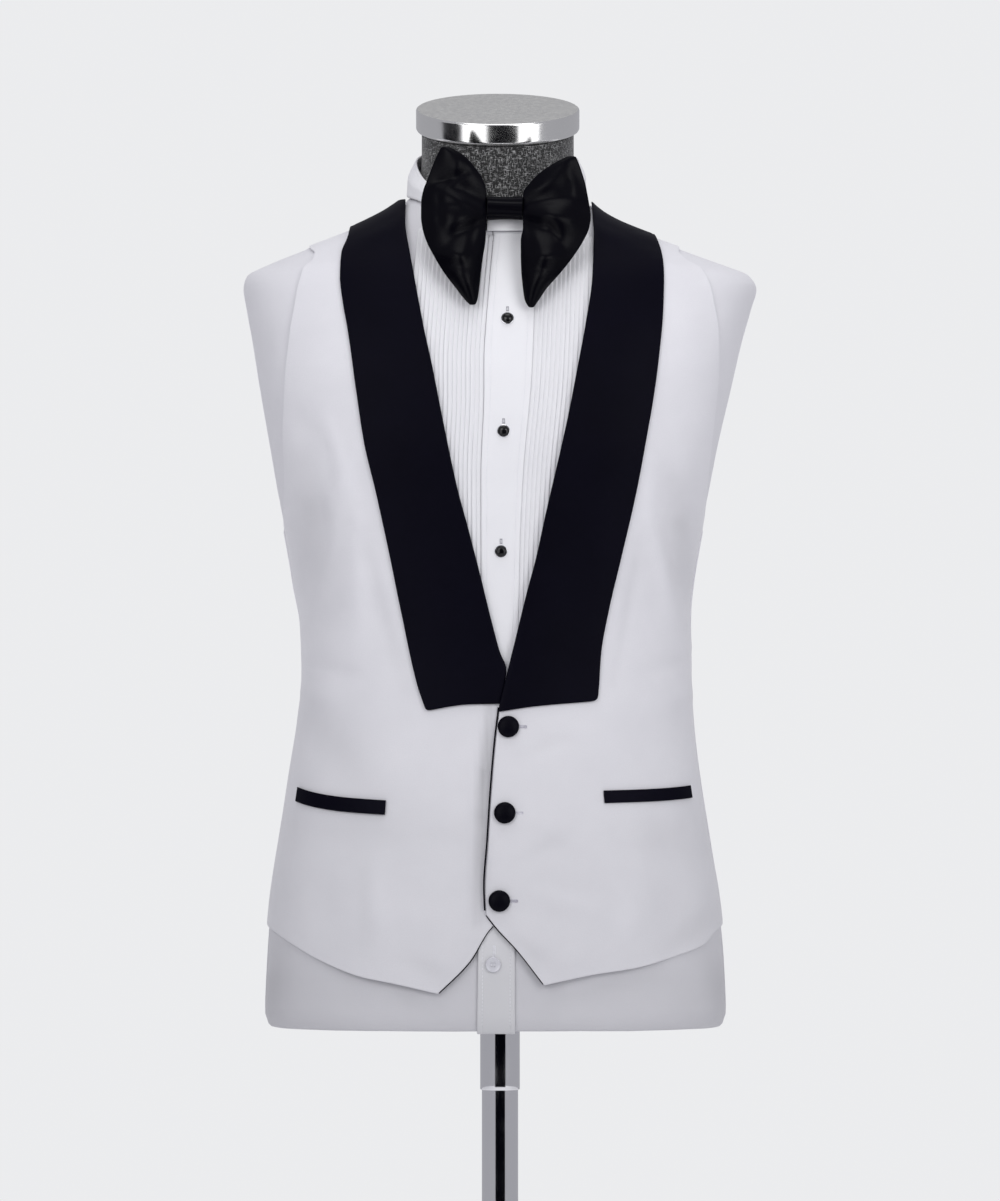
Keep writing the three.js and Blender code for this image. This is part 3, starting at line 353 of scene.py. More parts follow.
def smooth_curve(rows, column=1):
    """A smooth curve through one column of a table, with no overshoot between its rows."""
    xs = np.array([row[0] for row in rows], float)
    ys = np.array([row[column] for row in rows], float)
    rise = np.diff(ys) / np.diff(xs)
    slopes = np.concatenate([rise[:1], np.zeros(len(xs) - 2), rise[-1:]])
    before, after = rise[:-1], rise[1:]
    same = before * after > 0
    slopes[1:-1][same] = (2 * before * after)[same] / (before + after)[same]

    def at(x):
        x = np.asarray(x, float)
        i = np.clip(np.searchsorted(xs, x) - 1, 0, len(xs) - 2)
        step = xs[i + 1] - xs[i]
        t = np.clip((x - xs[i]) / step, 0, 1)
        start = ys[i] * (2 * t**3 - 3 * t**2 + 1) + slopes[i] * step * (t**3 - 2 * t**2 + t)
        return start + ys[i + 1] * (3 * t**2 - 2 * t**3) + slopes[i + 1] * step * (t**3 - t**2)

    return at


def mix(a, b, share):
    return a + (b - a) * share


def smooth_step(start, end, at):
    share = np.clip((at - start) / (end - start), 0, 1)
    return share * share * (3 - 2 * share)


def dent(at, width):
    """A soft dent or ridge of height 1 about 0, from its distance and width."""
    return np.exp(-((at / width) ** 2))


def stack(x, y, z):
    return np.stack(np.broadcast_arrays(x, y, z), axis=-1).astype(float)


# The form's surface

SECTION_CURVES = [smooth_curve(FORM_SECTIONS, column) for column in range(1, 7)]


def form_point(turn, z):
    """The form's surface at a turn from the front toward +X, in radians, and a height."""
    half_width, front, back, shift, power, lean = [at(z) for at in SECTION_CURVES]
    across, along = np.sin(turn), np.cos(turn)
    square = np.where(along > 0, power, np.minimum(power, BACK_POWER))
    reach = (np.abs(across) ** square + np.abs(along) ** square) ** (-1 / square)
    x = shift + half_width * reach * across
    y = -np.where(along > 0, front, back) * reach * along
    return stack(x, y, z + y * np.tan(np.radians(lean)))


def form_normal(turn, z):
    turn_step, height_step = 0.01, 1.5
    low = form_point(turn, np.maximum(FORM_BOTTOM, z - height_step))
    high = form_point(turn, np.minimum(NECK_TOP, z + height_step))
    around = form_point(turn + turn_step, z) - form_point(turn - turn_step, z)
    normal = np.cross(around, high - low)
    return normal / np.linalg.norm(normal, axis=-1, keepdims=True)


def on_form(turn, z, lift):
    lift = np.asarray(lift, float)
    return form_point(turn, z) + form_normal(turn, z) * lift[..., None]


def turn_at(x, z, lift):
    """The turn at which a piece standing off by the lift passes x, on the front side."""
    x, z = np.broadcast_arrays(np.asarray(x, float), np.asarray(z, float))
    low = np.full(x.shape, -math.radians(89.8))
    high = -low
    halvings = 26
    for _ in range(halvings):
        middle = (low + high) / 2
        below = on_form(middle, z, lift)[..., 0] < x
        low = np.where(below, middle, low)
        high = np.where(below, high, middle)
    return (low + high) / 2


def creased(x, z, rows):
    """How far soft troughs and ridges lift a cloth at x, z."""
    total = np.zeros(np.broadcast(x, z).shape)
    for x0, z0, x1, z1, width, rise in rows:
        run_x, run_z = x1 - x0, z1 - z0
        share = ((x - x0) * run_x + (z - z0) * run_z) / (run_x**2 + run_z**2)
        share = np.clip(share, 0, 1)
        off = np.hypot(x - x0 - share * run_x, z - z0 - share * run_z)
        body = 0.4 + 0.6 * np.sin(math.pi * share) ** 2
        spread_out = width * (0.8 + 0.4 * smooth_step(0, 1, share))
        total += rise * body * dent(off, spread_out)
    return total


# Meshes


def grid_faces(rows, columns, wrap=False):
    """Four-sided faces between the points of a grid, which may close round on itself."""
    number = np.arange(rows * columns).reshape(rows, columns)
    if wrap:
        number = np.concatenate([number, number[:, :1]], axis=1)
    a, b = number[:-1, :-1], number[:-1, 1:]
    d, c = number[1:, :-1], number[1:, 1:]
    return np.stack([a, d, c, b], axis=-1).reshape(-1, 4)


def new_mesh(name, points, faces, uv=None):
    """A smooth-shaded piece at the origin, from points and a flat map in millimetres."""
    mesh = bpy.data.meshes.new(name)
    mesh.from_pydata((np.asarray(points) * MM).tolist(), [], [list(face) for face in faces])
    mesh.validate()
    if uv is not None:
        layer = mesh.uv_layers.new(name="cloth")
        owner = np.zeros(len(mesh.loops), np.int32)
        mesh.loops.foreach_get("vertex_index", owner)
        layer.data.foreach_set("uv", (np.asarray(uv)[owner] * MM).ravel())
    mesh.polygons.foreach_set("use_smooth", [True] * len(mesh.polygons))
    piece = bpy.data.objects.new(name, mesh)
    bpy.context.scene.collection.objects.link(piece)
    return piece


def lengths(points, axis):
    """The distance run along each line of a grid."""
    step = np.linalg.norm(np.diff(points, axis=axis), axis=-1)
    start = np.zeros_like(np.take(step, [0], axis=axis))
    return np.cumsum(np.concatenate([start, step], axis=axis), axis=axis)


def grid_normal(points, wrap=False):
    across = np.gradient(points, axis=1)
    if wrap:
        across = np.roll(points, -1, axis=1) - np.roll(points, 1, axis=1)
    normal = np.cross(np.gradient(points, axis=0), across)
    return normal / np.maximum(np.linalg.norm(normal, axis=-1, keepdims=True), 1e-9)


def thick_cloth(
    name, middle, thickness, side=1, wrap=False, rounding=0.55, seams=(1.0, 1.0), shade=None
):
    """A cloth of the given thickness about a grid of middle points, with rounded edges.

    A grid of the right side runs the other way round, so its columns are turned about.
    The rounding is a share of the thickness, and seams are shares of it at both side edges.
    """
    if side < 0:
        middle, seams = middle[:, ::-1], seams[::-1]
        shade = None if shade is None else shade[:, ::-1]
    rows, columns = middle.shape[:2]
    normal = grid_normal(middle, wrap)
    along, down = lengths(middle, 1), lengths(middle, 0)
    edge = np.minimum(down, down[-1:] - down)
    if not wrap:
        sides = np.minimum(along / seams[0], (along[:, -1:] - along) / seams[1])
        edge = np.minimum(edge, sides)
    inside = np.clip(edge / (thickness * rounding), 0, 1)
    half = thickness / 2 * np.maximum(np.sqrt(1 - (1 - inside) ** 2), 0.12)
    face = (middle + normal * half[..., None]).reshape(-1, 3)
    back = (middle - normal * half[..., None]).reshape(-1, 3)
    front_faces = grid_faces(rows, columns, wrap)
    count = rows * columns
    back_faces = front_faces[:, ::-1] + count
    number = np.arange(count).reshape(rows, columns)
    top, foot = number[0], number[-1]
    if wrap:
        top, foot = np.append(top, top[0]), np.append(foot, foot[0])
        edges = [top[::-1], foot]
    else:
        edges = [top[::-1], foot, number[:, 0], number[::-1, -1]]
    rims = []
    for line in edges:
        a, b = line[:-1], line[1:]
        rims.append(np.stack([b, a, a + count, b + count], axis=-1))
    faces = np.concatenate([front_faces, back_faces, *rims])
    middle_column = columns // 2
    v = np.broadcast_to(-down[:, middle_column : middle_column + 1], (rows, columns))
    u = along + (0 if wrap else middle[:, :1, 0])
    uv = np.stack([u, v], axis=-1).reshape(-1, 2)
    piece = new_mesh(name, np.concatenate([face, back]), faces, np.concatenate([uv, uv]))
    area = np.linalg.norm(
        np.cross(middle[1:, :-1] - middle[:-1, :-1], middle[:-1, 1:] - middle[:-1, :-1]), axis=-1
    ).sum()
    if shade is not None:
        layer = piece.data.attributes.new(FOLD_SHADE, "FLOAT", "POINT")
        layer.data.foreach_set("value", np.tile(shade.ravel(), 2).astype(np.float32))
    piece["cut"] = [float(along[:, -1].max() * MM), float(down[-1].max() * MM), area * MM * MM]
    return piece


def spread(length, step, edges=EDGE_STEPS, marks=()):
    """Shares of a length: close together at both ends and about the marks, else a step apart."""
    stops = [*edges, *(length - stop for stop in edges), *marks]
    stops += list(np.arange(edges[-1] + step, length - edges[-1] - step / 2, step))
    kept = [0.0]
    for stop in sorted(stops):
        if stop - kept[-1] > 0.08 and stop < length:
            kept.append(stop)
    if length - kept[-1] < 0.05:
        kept.pop()
    return np.array([*kept, length]) / length


def rows_from(low, high, step, extra=(), edges=EDGE_STEPS):
    stops = low + spread(high - low, step, edges) * (high - low)
    joined = np.unique(np.round(np.concatenate([stops, extra]), 3))
    joined = joined[(joined >= low) & (joined <= high)]
    gaps = np.diff(joined, prepend=low - 1)
    near_end = (joined < low + 3) | (joined > high - 3)
    return joined[gaps > np.where(near_end, 0.08, 0.45)][::-1]


def finish_piece(piece, look, node=None, body=CLOTHED):
    """Give a piece its look and body, and hide the node that it stands for, if it has one."""
    piece.data.materials.clear()
    piece.data.materials.append(look)
    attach(piece, body)
    if node:
        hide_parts(node)
    return piece


def sew(name, node, look, middle, thickness, **shape):
    """A finished cloth that stands for a node."""
    return finish_piece(thick_cloth(name, middle, thickness, **shape), look, node)


def declare(with_pieces):
    """Turns the pieces into a list, and does nothing more with them."""
    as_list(with_pieces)


# Materials


def new_look(name, colour, roughness, **sockets):
    look = bpy.data.materials.new(name)
    look.use_nodes = True
    tree = look.node_tree
    shader = tree.nodes["Principled BSDF"]
    shader.inputs["Base Color"].default_value = (*colour, 1)
    shader.inputs["Roughness"].default_value = roughness
    for socket, value in sockets.items():
        shader.inputs[socket.replace("_", " ")].default_value = value
    return look, tree, shader


# The painted shade of the folds, kept on a cloth's points: darker in hollows, lighter on ridges
FOLD_SHADE = "fold_shade"

# Where a mix of two colours takes and gives its colours
MIX_A, MIX_B, MIX_RESULT = 6, 7, 2


def add_node(tree, kind, links=(), values=(), **settings):
    made = tree.nodes.new("ShaderNode" + kind)
    for key, value in settings.items():
        setattr(made, key, value)
    for socket, value in values:
        made.inputs[socket].default_value = value
    for socket, source in links:
        tree.links.new(source, made.inputs[socket])
    return made


def coordinates(tree, output):
    return add_node(tree, "TexCoord").outputs[output]


def tinted(tree, shader, base, other, factor):
    """The shader's colour wanders between two colours."""
    blend = add_node(tree, "Mix", [(0, factor)], data_type="RGBA")
    blend.inputs[MIX_A].default_value = (*base, 1)
    blend.inputs[MIX_B].default_value = (*other, 1)
    tree.links.new(blend.outputs[MIX_RESULT], shader.inputs["Base Color"])
    return blend.outputs[MIX_RESULT]


def threads(tree, source, direction, per_metre):
    """Bands of a number for each metre, a little bent, as threads are."""
    bands_at_scale_1 = 10 / math.pi
    values = [
        ("Scale", per_metre / bands_at_scale_1), ("Distortion", 0.6),
        ("Detail", 2), ("Detail Scale", 1.5),
    ]
    wave = add_node(
        tree, "TexWave", [("Vector", source)], values, wave_type="BANDS", bands_direction=direction
    )
    return wave.outputs["Fac"]


def noise(tree, source, scale, detail, roughness=0.5):
    values = [("Scale", scale), ("Detail", detail), ("Roughness", roughness)]
    return add_node(tree, "TexNoise", [("Vector", source)], values).outputs["Fac"]


def add_bump(tree, shader, height, strength, distance_mm):
    values = [("Strength", strength), ("Distance", distance_mm * MM)]
    bump = add_node(tree, "Bump", [("Height", height)], values)
    tree.links.new(bump.outputs["Normal"], shader.inputs["Normal"])


def calculated(tree, operation, first, second):
    return add_node(tree, "Math", [(0, first), (1, second)], operation=operation).outputs[0]


def woven(
    name, colour, other, roughness, thread_mm, depth, twill=False, map_name="UV", painted_shade=None,
    **sockets
):
    """A woven cloth: crossing threads that follow the cloth's own map, and uneven fibres.

    The heights between which the colour darkens downward as painted shade, and its share below them,
    may be given; such a cloth also takes the painted shade of its folds.
    """
    look, tree, shader = new_look(name, colour, roughness, **sockets)
    uv = coordinates(tree, map_name)
    per_metre = 1000 / thread_mm
    warp = threads(tree, uv, "X", per_metre)
    weft = threads(tree, uv, "DIAGONAL" if twill else "Y", per_metre)
    crossing = calculated(tree, "MULTIPLY", warp, weft)
    height = calculated(tree, "ADD", crossing, noise(tree, uv, 900, 3))
    add_bump(tree, shader, height, 0.55, depth)
    cloud = noise(tree, uv, 14, 4, 0.6)
    tint = tinted(tree, shader, colour, other, calculated(tree, "MULTIPLY", cloud, height))
    # Painted shade, darker toward the bottom
    if painted_shade:
        tint = paint_shade_low(tree, shader, tint, *painted_shade)
        # The painted shade of the folds, kept on the points, multiplies the colour
        held = add_node(tree, "Attribute", attribute_name=FOLD_SHADE).outputs["Fac"]
        share = add_node(tree, "Math", [(0, held)], [(1, 1.0)], operation="ADD").outputs[0]
        multiplied(tree, shader, tint, share)
    return look


def multiplied(tree, shader, tint, share):
    """The shader's colour becomes the tint times the share."""
    product = add_node(
        tree, "Mix", [(MIX_A, tint), (MIX_B, share)], [(0, 1.0)],
        data_type="RGBA", blend_type="MULTIPLY",
    )
    tree.links.new(product.outputs[MIX_RESULT], shader.inputs["Base Color"])
    return product.outputs[MIX_RESULT]


def paint_shade_low(tree, shader, tint, foot, head, low_shade):
    """Painted shade: the colour darkens between two heights, toward the foot of the form, where less
    light falls.
    """
    place = add_node(tree, "SeparateXYZ", [(0, coordinates(tree, "Object"))])
    share = add_node(
        tree, "MapRange", [("Value", place.outputs["Z"])],
        [("From Min", foot), ("From Max", head), ("To Min", low_shade), ("To Max", 1)],
    )
    return multiplied(tree, shader, tint, share.outputs["Result"])


def make_tweed():
    """Light yarns that cross on a dark ground."""
    look, tree, shader = new_look("grey tweed", (0.1, 0.1, 0.1), 0.95, Sheen_Weight=0.3)
    place = coordinates(tree, "Object")
    yarns = []
    for scale, turn, size in (((1, 1, 0.22), 0.06, 1120), ((0.22, 0.22, 1), -0.05, 1060)):
        pulled = add_node(
            tree, "Mapping", [("Vector", place)], [("Scale", scale), ("Rotation", (turn, turn, 0))]
        ).outputs["Vector"]
        yarns.append(noise(tree, pulled, size, 3, 0.7))
    both = calculated(tree, "MAXIMUM", *yarns)
    ramp = add_node(tree, "ValToRGB", [("Fac", both)])
    for stop, (position, grey) in zip(ramp.color_ramp.elements, ((0.55, 0.012), (0.68, 0.42))):
        stop.position = position
        stop.color = (grey, grey, grey, 1)
    tree.links.new(ramp.outputs["Color"], shader.inputs["Base Color"])
    add_bump(tree, shader, both, 0.8, 0.6)
    return look


def make_metal(name, colour, roughness, rougher, scale):
    """A metal whose roughness wanders between two values."""
    look, tree, shader = new_look(name, colour, roughness, Metallic=1.0)
    grain = noise(tree, coordinates(tree, "Object"), scale, 5)
    spread_out = add_node(
        tree, "MapRange", [("Value", grain)],
        [("From Min", 0.35), ("From Max", 0.7), ("To Min", roughness), ("To Max", rougher)],
    )
    tree.links.new(spread_out.outputs["Result"], shader.inputs["Roughness"])
    add_bump(tree, shader, grain, 0.06, 0.05)
    return look


def make_gloss(name, colour, roughness, **sockets):
    """A glossy stone or shell, with a faint haze in it."""
    look, tree, shader = new_look(name, colour, roughness, **sockets)
    lighter = tuple(value * 1.12 + 0.004 for value in colour)
    tinted(tree, shader, colour, lighter, noise(tree, coordinates(tree, "Object"), 500, 3))
    return look


# The ivory and shirt cloths carry painted shade toward the bottom and in their folds
WAISTCOAT_LOOK = woven(
    "ivory waistcoat cloth", (0.70, 0.695, 0.732), (0.83, 0.825, 0.858), 0.78, 0.5, 0.05,
    painted_shade=(0.9, 1.14, 0.86), Sheen_Weight=0.25, Sheen_Roughness=0.5,
)
SHIRT_BODY_LOOK = woven(
    "shirt poplin over the form", (0.68, 0.675, 0.71), (0.78, 0.775, 0.81), 0.8, 0.35, 0.04,
    painted_shade=(0.82, 0.95, 0.78), Sheen_Weight=0.15,
)
SHIRT_LOOK = woven(
    "white shirt poplin", (0.81, 0.81, 0.84), (0.89, 0.89, 0.91), 0.75, 0.35, 0.04,
    painted_shade=(0.82, 0.95, 0.69), Sheen_Weight=0.15,
)
LAPEL_LOOK = woven(
    "black lapel satin", (0.0012, 0.0010, 0.0038), (0.0032, 0.0027, 0.009), 0.5, 0.45, 0.04,
    twill=True, Specular_IOR_Level=0.04,
)
BOW_LOOK = woven(
    "black bow satin", (0.0012, 0.0011, 0.0024), (0.003, 0.0028, 0.0055), 0.28, 0.45, 0.03,
    twill=True, Specular_IOR_Level=0.055,
)
BUTTON_LOOK = woven(
    "black button satin", (0.0012, 0.0010, 0.0030), (0.003, 0.0026, 0.007), 0.4, 0.45, 0.03,
    twill=True, map_name="Object", Specular_IOR_Level=0.05,
)
THREAD_LOOK = woven(
    "white thread", (0.78, 0.78, 0.82), (0.88, 0.88, 0.92), 0.6, 0.3, 0.03
)
WAISTCOAT_THREAD_LOOK = woven(
    "ivory thread", (0.46, 0.45, 0.52), (0.60, 0.59, 0.66), 0.7, 0.3, 0.03
)
SLIT_LOOK = woven(
    "shaded thread round a stud hole", (0.34, 0.34, 0.38), (0.44, 0.44, 0.48), 0.8, 0.4, 0.03
)
TWEED_LOOK = make_tweed()
CHROME_LOOK = make_metal("polished chrome", (0.80, 0.80, 0.82), 0.06, 0.14, 40)
RIM_LOOK = make_metal("soft chrome of the cap", (0.80, 0.80, 0.79), 0.13, 0.2, 60)
BRUSHED_LOOK = make_metal("brushed cap top", (0.73, 0.73, 0.70), 0.34, 0.5, 260)
STUD_LOOK = make_gloss(
    "black stud stone", (0.002, 0.002, 0.003), 0.1, Specular_IOR_Level=0.3, Coat_Weight=0.1
)
PEARL_LOOK = make_gloss("clear shirt button", (0.56, 0.56, 0.60), 0.2, Coat_Weight=0.3)


# Heights and lifts that several pieces share

seam_height = smooth_curve(NECK_SEAM)


def waistcoat_lift(turn):
    """The fronts lie high over the bib and close to the form at the sides."""
    aside = smooth_step(BIB_SIDE_START, BIB_SIDE_END, np.abs(np.degrees(turn)))
    return mix(WAISTCOAT_FRONT_LIFT, WAISTCOAT_SIDE_LIFT, aside)


def front_lift(side, turn):
    """The left front rises over the right front where they overlap."""
    rise = OVERLAP_RISE * (1 - smooth_step(OVERLAP_FULL, OVERLAP_END, np.degrees(turn)))
    return waistcoat_lift(turn) + (rise if side > 0 else 0)


def armhole_turn(rows, column, z):
    inside = (z > rows[0][0]) & (z < rows[-1][0])
    return np.where(inside, smooth_curve(rows, column)(z), 90.0)


def laid(turn, z, lift, thickness, creases=0.0):
    """The middle of a cloth whose inner face stands off the form by the lift."""
    return on_form(turn, z, lift + thickness / 2 + creases)


def eased_above(floor, rise):
    """The rise kept over a floor, without a sharp line where the floor begins."""
    sharpness = 3
    return floor + np.logaddexp(0, sharpness * (rise - floor)) / sharpness


def folded_turn(degrees):
    """The turn from the front by the shorter way round."""
    return np.minimum(np.abs(degrees), 360 - np.abs(degrees))


def around_back(turn):
    return (np.degrees(turn) - 180) / 180 * math.pi * BACK_REACH


def front_creases(turn, z, rows):
    place = form_point(turn, z)
    return creased(place[..., 0], place[..., 2], rows)


def back_creases(turn, z, rows):
    return creased(around_back(turn), z, rows)


# Dress form


def form_levels():
    """Heights of the form's rows, from the neck down: close together at the shoulders and ends."""
    return np.concatenate([
        NECK_TOP - np.array([0, 0.5, 1.5, 3, 6]),
        np.arange(1556, 1500, -6),
        np.arange(1500, 1420, -2.5),
        np.arange(1420, 790, -10),
        FORM_BOTTOM + np.array([16, 12, 9, 6, 4, 2.5, 1.3, 0.5, 0]),
    ])


def make_form():
    """The padded form with the bore for its tube: outside, underside, bore wall and bore end."""
    turns = np.linspace(0, 2 * math.pi, 144, endpoint=False)
    turn, z = np.meshgrid(turns, form_levels())
    outside = form_point(turn, z)
    bore = TUBE_RADIUS + 0.3

    def bore_ring(height):
        return stack(bore * np.sin(turns), -bore * np.cos(turns), height)

    underside = [mix(outside[-1], bore_ring(FORM_BOTTOM), share) for share in (0.15, 0.5, 0.85)]
    wall = [bore_ring(height) for height in (FORM_BOTTOM, FORM_BOTTOM + 40, TUBE_TOP + 0.3)]
    points = np.concatenate([outside, underside, wall])
    rows, columns = points.shape[:2]
    faces = [list(face) for face in grid_faces(rows, columns, True)]
    faces.append(list(range(columns)))
    faces.append([(rows - 1) * columns + i for i in range(columns)][::-1])
    piece = new_mesh("form_cover", points.reshape(-1, 3), faces)
    finish_piece(piece, TWEED_LOOK, "form_torso")


# Shirt


def raised_rows(shares, top):
    """Rows that fan out from the shoulder's foot up to a curved top, as functions of the turn."""
    return [lambda degrees, share=share: mix(SHOULDER_FOOT, top(degrees), share) for share in shares]


def level_rows(heights):
    return [lambda degrees, z=z: z + 0 * degrees for z in heights]


def place_rows(heights, shares, start, end):
    """Turns and heights of a cloth's points, between its start and end turn at each height."""
    turns = []
    levels = []
    for height in heights:
        edge = height(np.array(90.0))
        degrees = mix(start(edge), end(edge), shares)
        turns.append(np.radians(degrees))
        levels.append(height(folded_turn(degrees)))
    return np.array(turns), np.array(levels)


def shirt_rows():
    armhole = np.concatenate([np.arange(1236, 1262, 1.5), np.arange(1416, 1436, 1.2)])
    level = rows_from(SHIRT_BOTTOM, SHOULDER_FOOT, 7, extra=armhole, edges=HEM_EDGE_STEPS)
    over_seam = 1.6
    raised = raised_rows(np.linspace(1, 0, 22)[:-1], lambda degrees: seam_height(degrees) + over_seam)
    return raised + level_rows(level)


def shirt_back_lift(z):
    return mix(SHIRT_BACK_LIFT, SHIRT_LIFT, smooth_step(YOKE_LINE, SHOULDER_FOOT, z))


def make_shirt_front(side, word):
    width = 270
    armhole_hem = (width - 6.5, width - 6, width - 5.5)
    turn, z = place_rows(
        shirt_rows(), spread(width, 5, marks=armhole_hem),
        lambda edge: SHIRT_SEAM_TURN,
        lambda edge: armhole_turn(SHIRT_ARMHOLE, 1, edge) - SHIRT_SEAM_TURN,
    )
    turn = turn * side
    folds = front_creases(turn, z, SHIRT_FOLDS)
    rise = front_creases(turn, z, SHIRT_CREASES) + folds
    rise = rise * (1 - smooth_step(SHOULDER_FOOT, SHIRT_FOLDS_END, z))
    middle = laid(turn, z, SHIRT_LIFT, SHIRT_CLOTH, np.maximum(rise, SHIRT_FLOOR))
    node = "shirt_front_" + word
    return sew(
        node + "_cloth", node, SHIRT_BODY_LOOK, middle, SHIRT_CLOTH, side=side, shade=FOLD_PAINTED_SHADE * folds
    )


def make_shirt_back():
    width = 560
    turn, z = place_rows(
        shirt_rows(), spread(width, 5),
        lambda edge: armhole_turn(SHIRT_ARMHOLE, 2, edge) + SHIRT_SEAM_TURN,
        lambda edge: 360 - armhole_turn(SHIRT_ARMHOLE, 2, edge) - SHIRT_SEAM_TURN,
    )
    rise = back_creases(turn, z, SHIRT_BACK_CREASES)
    middle = laid(turn, z, shirt_back_lift(z), SHIRT_CLOTH, rise)
    return sew("shirt_back_cloth", "shirt_back", SHIRT_BODY_LOOK, middle, SHIRT_CLOTH)


placket_right = smooth_curve(PLACKET_EDGES, 1)
placket_left = smooth_curve(PLACKET_EDGES, 2)


def placket_turn(share, z):
    x = mix(placket_right(z), placket_left(z), share)
    return turn_at(x, z, BIB_LIFT)


def make_placket():
    """The band down the front, puffed between its edges and the stitches near them."""
    near = STITCHES_FROM_EDGE + np.array([-0.7, 0, 0.7])
    shares = spread(PLACKET_WIDTH, 2.5, marks=(*near, *(PLACKET_WIDTH - near[::-1])))
    share, z = np.meshgrid(shares, rows_from(SHIRT_BOTTOM, PLACKET_TOP, 6))
    off = np.minimum(share, 1 - share) * PLACKET_WIDTH
    sewn = -0.28 * dent(off - STITCHES_FROM_EDGE, 0.6)
    puffed = 0.25 * dent(off - STITCHES_FROM_EDGE / 2, 1.6)
    ripple = 0.12 * np.sin(z / 6.1) * dent(off - 4, 3)
    middle = laid(placket_turn(share, z), z, BIB_LIFT, PLACKET_CLOTH, sewn + puffed + ripple)
    return sew("placket_cloth", "shirt_placket", SHIRT_LOOK, middle, PLACKET_CLOTH)


def seam_over(side, x):
    """The height of the neck seam over x."""
    degrees = np.arange(0, 90.0)
    turn = side * np.radians(degrees)
    seam_x = side * on_form(turn, seam_height(degrees), np.full(90, BIB_LIFT))[:, 0]
    return seam_height(np.interp(x, seam_x, degrees))


def tuck_profile(place):
    """A tuck lies over to one side: a slow rise, a folded edge and a sewn valley."""
    up = smooth_step(0, 0.8, place)
    return np.where(place < 0.8, up, 1 - smooth_step(0.8, 0.95, place))


def make_bib(side, word):
    """A bib of upright tucks beside the placket, which vary a little from one to the next."""
    within = (0, 0.14, 0.3, 0.46, 0.62, 0.72, 0.79, 0.84, 0.885, 0.93, 0.965)
    places = np.array([i + part for i in range(TUCK_COUNT) for part in within] + [TUCK_COUNT])
    out = TUCK_CLEARANCE[side] + places * TUCK_PITCH
    edge = placket_left if side > 0 else placket_right
    start = np.abs(edge(SHOULDER_FOOT) + side * out)
    aside = smooth_step(BIB_TOP["from_x"], BIB_TOP["to_x"], start)
    top = mix(BIB_TOP["middle"], BIB_TOP["side"], aside)
    top = np.minimum(seam_over(side, start) - BIB_TOP["under_seam"], top)
    rows = [mix(SHOULDER_FOOT, top, share) for share in np.linspace(1, 0, 12)[:-1]]
    rows += [np.full(len(out), z) for z in rows_from(BIB_BOTTOM, SHOULDER_FOOT, 6)]
    z = np.array(rows)
    turn = turn_at(edge(z) + side * out[None, :], z, BIB_LIFT)
    tuck = np.floor(np.minimum(places, TUCK_COUNT - 0.001))
    uneven = 0.78 + 0.22 * np.sin(tuck * 2.7 + side) * np.sin(z / 47 + tuck * 1.3)
    rise = TUCK_RISE * tuck_profile(places - tuck)[None, :] * uneven
    # Painted shade in the tucks' sewn valleys, darker where the tuck sinks
    shade = TUCK_PAINTED_SHADE * (rise / TUCK_RISE - 1)
    beside_placket = 0.6 if side > 0 else 0.25
    rise = np.maximum(rise, beside_placket * (1 - smooth_step(0, 1.2, places))[None, :])
    middle = laid(turn, z, BIB_LIFT, BIB_CLOTH, rise)
    node = "bib_" + word
    return sew(node + "_cloth", node, SHIRT_LOOK, middle, BIB_CLOTH, side=side, shade=shade)


collar_top = smooth_curve(COLLAR_TOP)


def collar_point(degrees, up, depth):
    """A point of the standing collar, from its seam (up = 0) to its top (up = 1)."""
    turn = np.radians(degrees)
    folded = folded_turn(degrees)
    lift = SHIRT_LIFT + SHIRT_CLOTH + LAYER_GAP + depth
    foot = on_form(turn, seam_height(folded), lift)
    ring = COLLAR_TOP_RING
    reach = np.where(np.cos(turn) > 0, ring["front"], ring["back"]) + depth
    x = ring["shift"] + (ring["half_width"] + depth) * np.sin(turn)
    head = stack(x, -reach * np.cos(turn), collar_top(folded))
    wall = mix(foot, head, np.asarray(up)[..., None])
    inward = COLLAR_LEAN * smooth_step(0.5, 1.15, up) * smooth_step(0, 70, folded)
    return wall - stack(inward * np.sin(turn), -inward * np.cos(turn), 0)


def make_collar():
    length = 470
    near = STITCHES_FROM_EDGE + np.array([-0.8, 0, 0.8])
    around = spread(length, 4, marks=near)
    ups = spread(COLLAR_HEIGHT, 2.5, marks=COLLAR_HEIGHT - near[::-1])[::-1]
    share, up = np.meshgrid(around, ups)
    degrees = COLLAR_START + (360 - COLLAR_GAP) * share - COLLAR_SLANT * (up - 0.5)
    sewn = -0.25 * dent((1 - up) * COLLAR_HEIGHT - STITCHES_FROM_EDGE, 0.7)
    soft = 0.35 * np.sin(np.radians(degrees) * 7 + up * 3) * np.sin(math.pi * up)
    middle = collar_point(degrees, up, COLLAR_CLOTH / 2 + sewn + soft)
    return sew("collar_cloth", "shirt_collar", SHIRT_LOOK, middle, COLLAR_CLOTH)


# Waistcoat


def hem_curve(side):
    """The hem's height by turn, with a corner at its tip, and the tip's turn."""
    rows = HEM[side]
    tip = min(range(len(rows)), key=lambda i: rows[i][1])
    inner, outer = smooth_curve(rows[: tip + 1]), smooth_curve(rows[tip:])
    tip_turn = rows[tip][0]
    return lambda degrees: np.where(degrees < tip_turn, inner(degrees), outer(degrees)), tip_turn


def inner_turn(side, z):
    """Where a front's inner edge runs: under the lapel, and down the closing below the V."""
    set_back = 1.8
    beside = PIPING_WIDTH + 0.5 if side > 0 else 0
    roll = smooth_curve(ROLL_EDGE[side])(z) + side * set_back
    closing = smooth_curve(FRONT_EDGE[side])(z) + beside
    return turn_at(np.where(z > V_TIP[side], roll, closing), z, waistcoat_lift(0.0))


def outer_turn(side, z):
    column = 1 if side < 0 else 2
    return side * np.radians(armhole_turn(WAISTCOAT_ARMHOLE, column, z) - WAISTCOAT_SEAM_TURN)


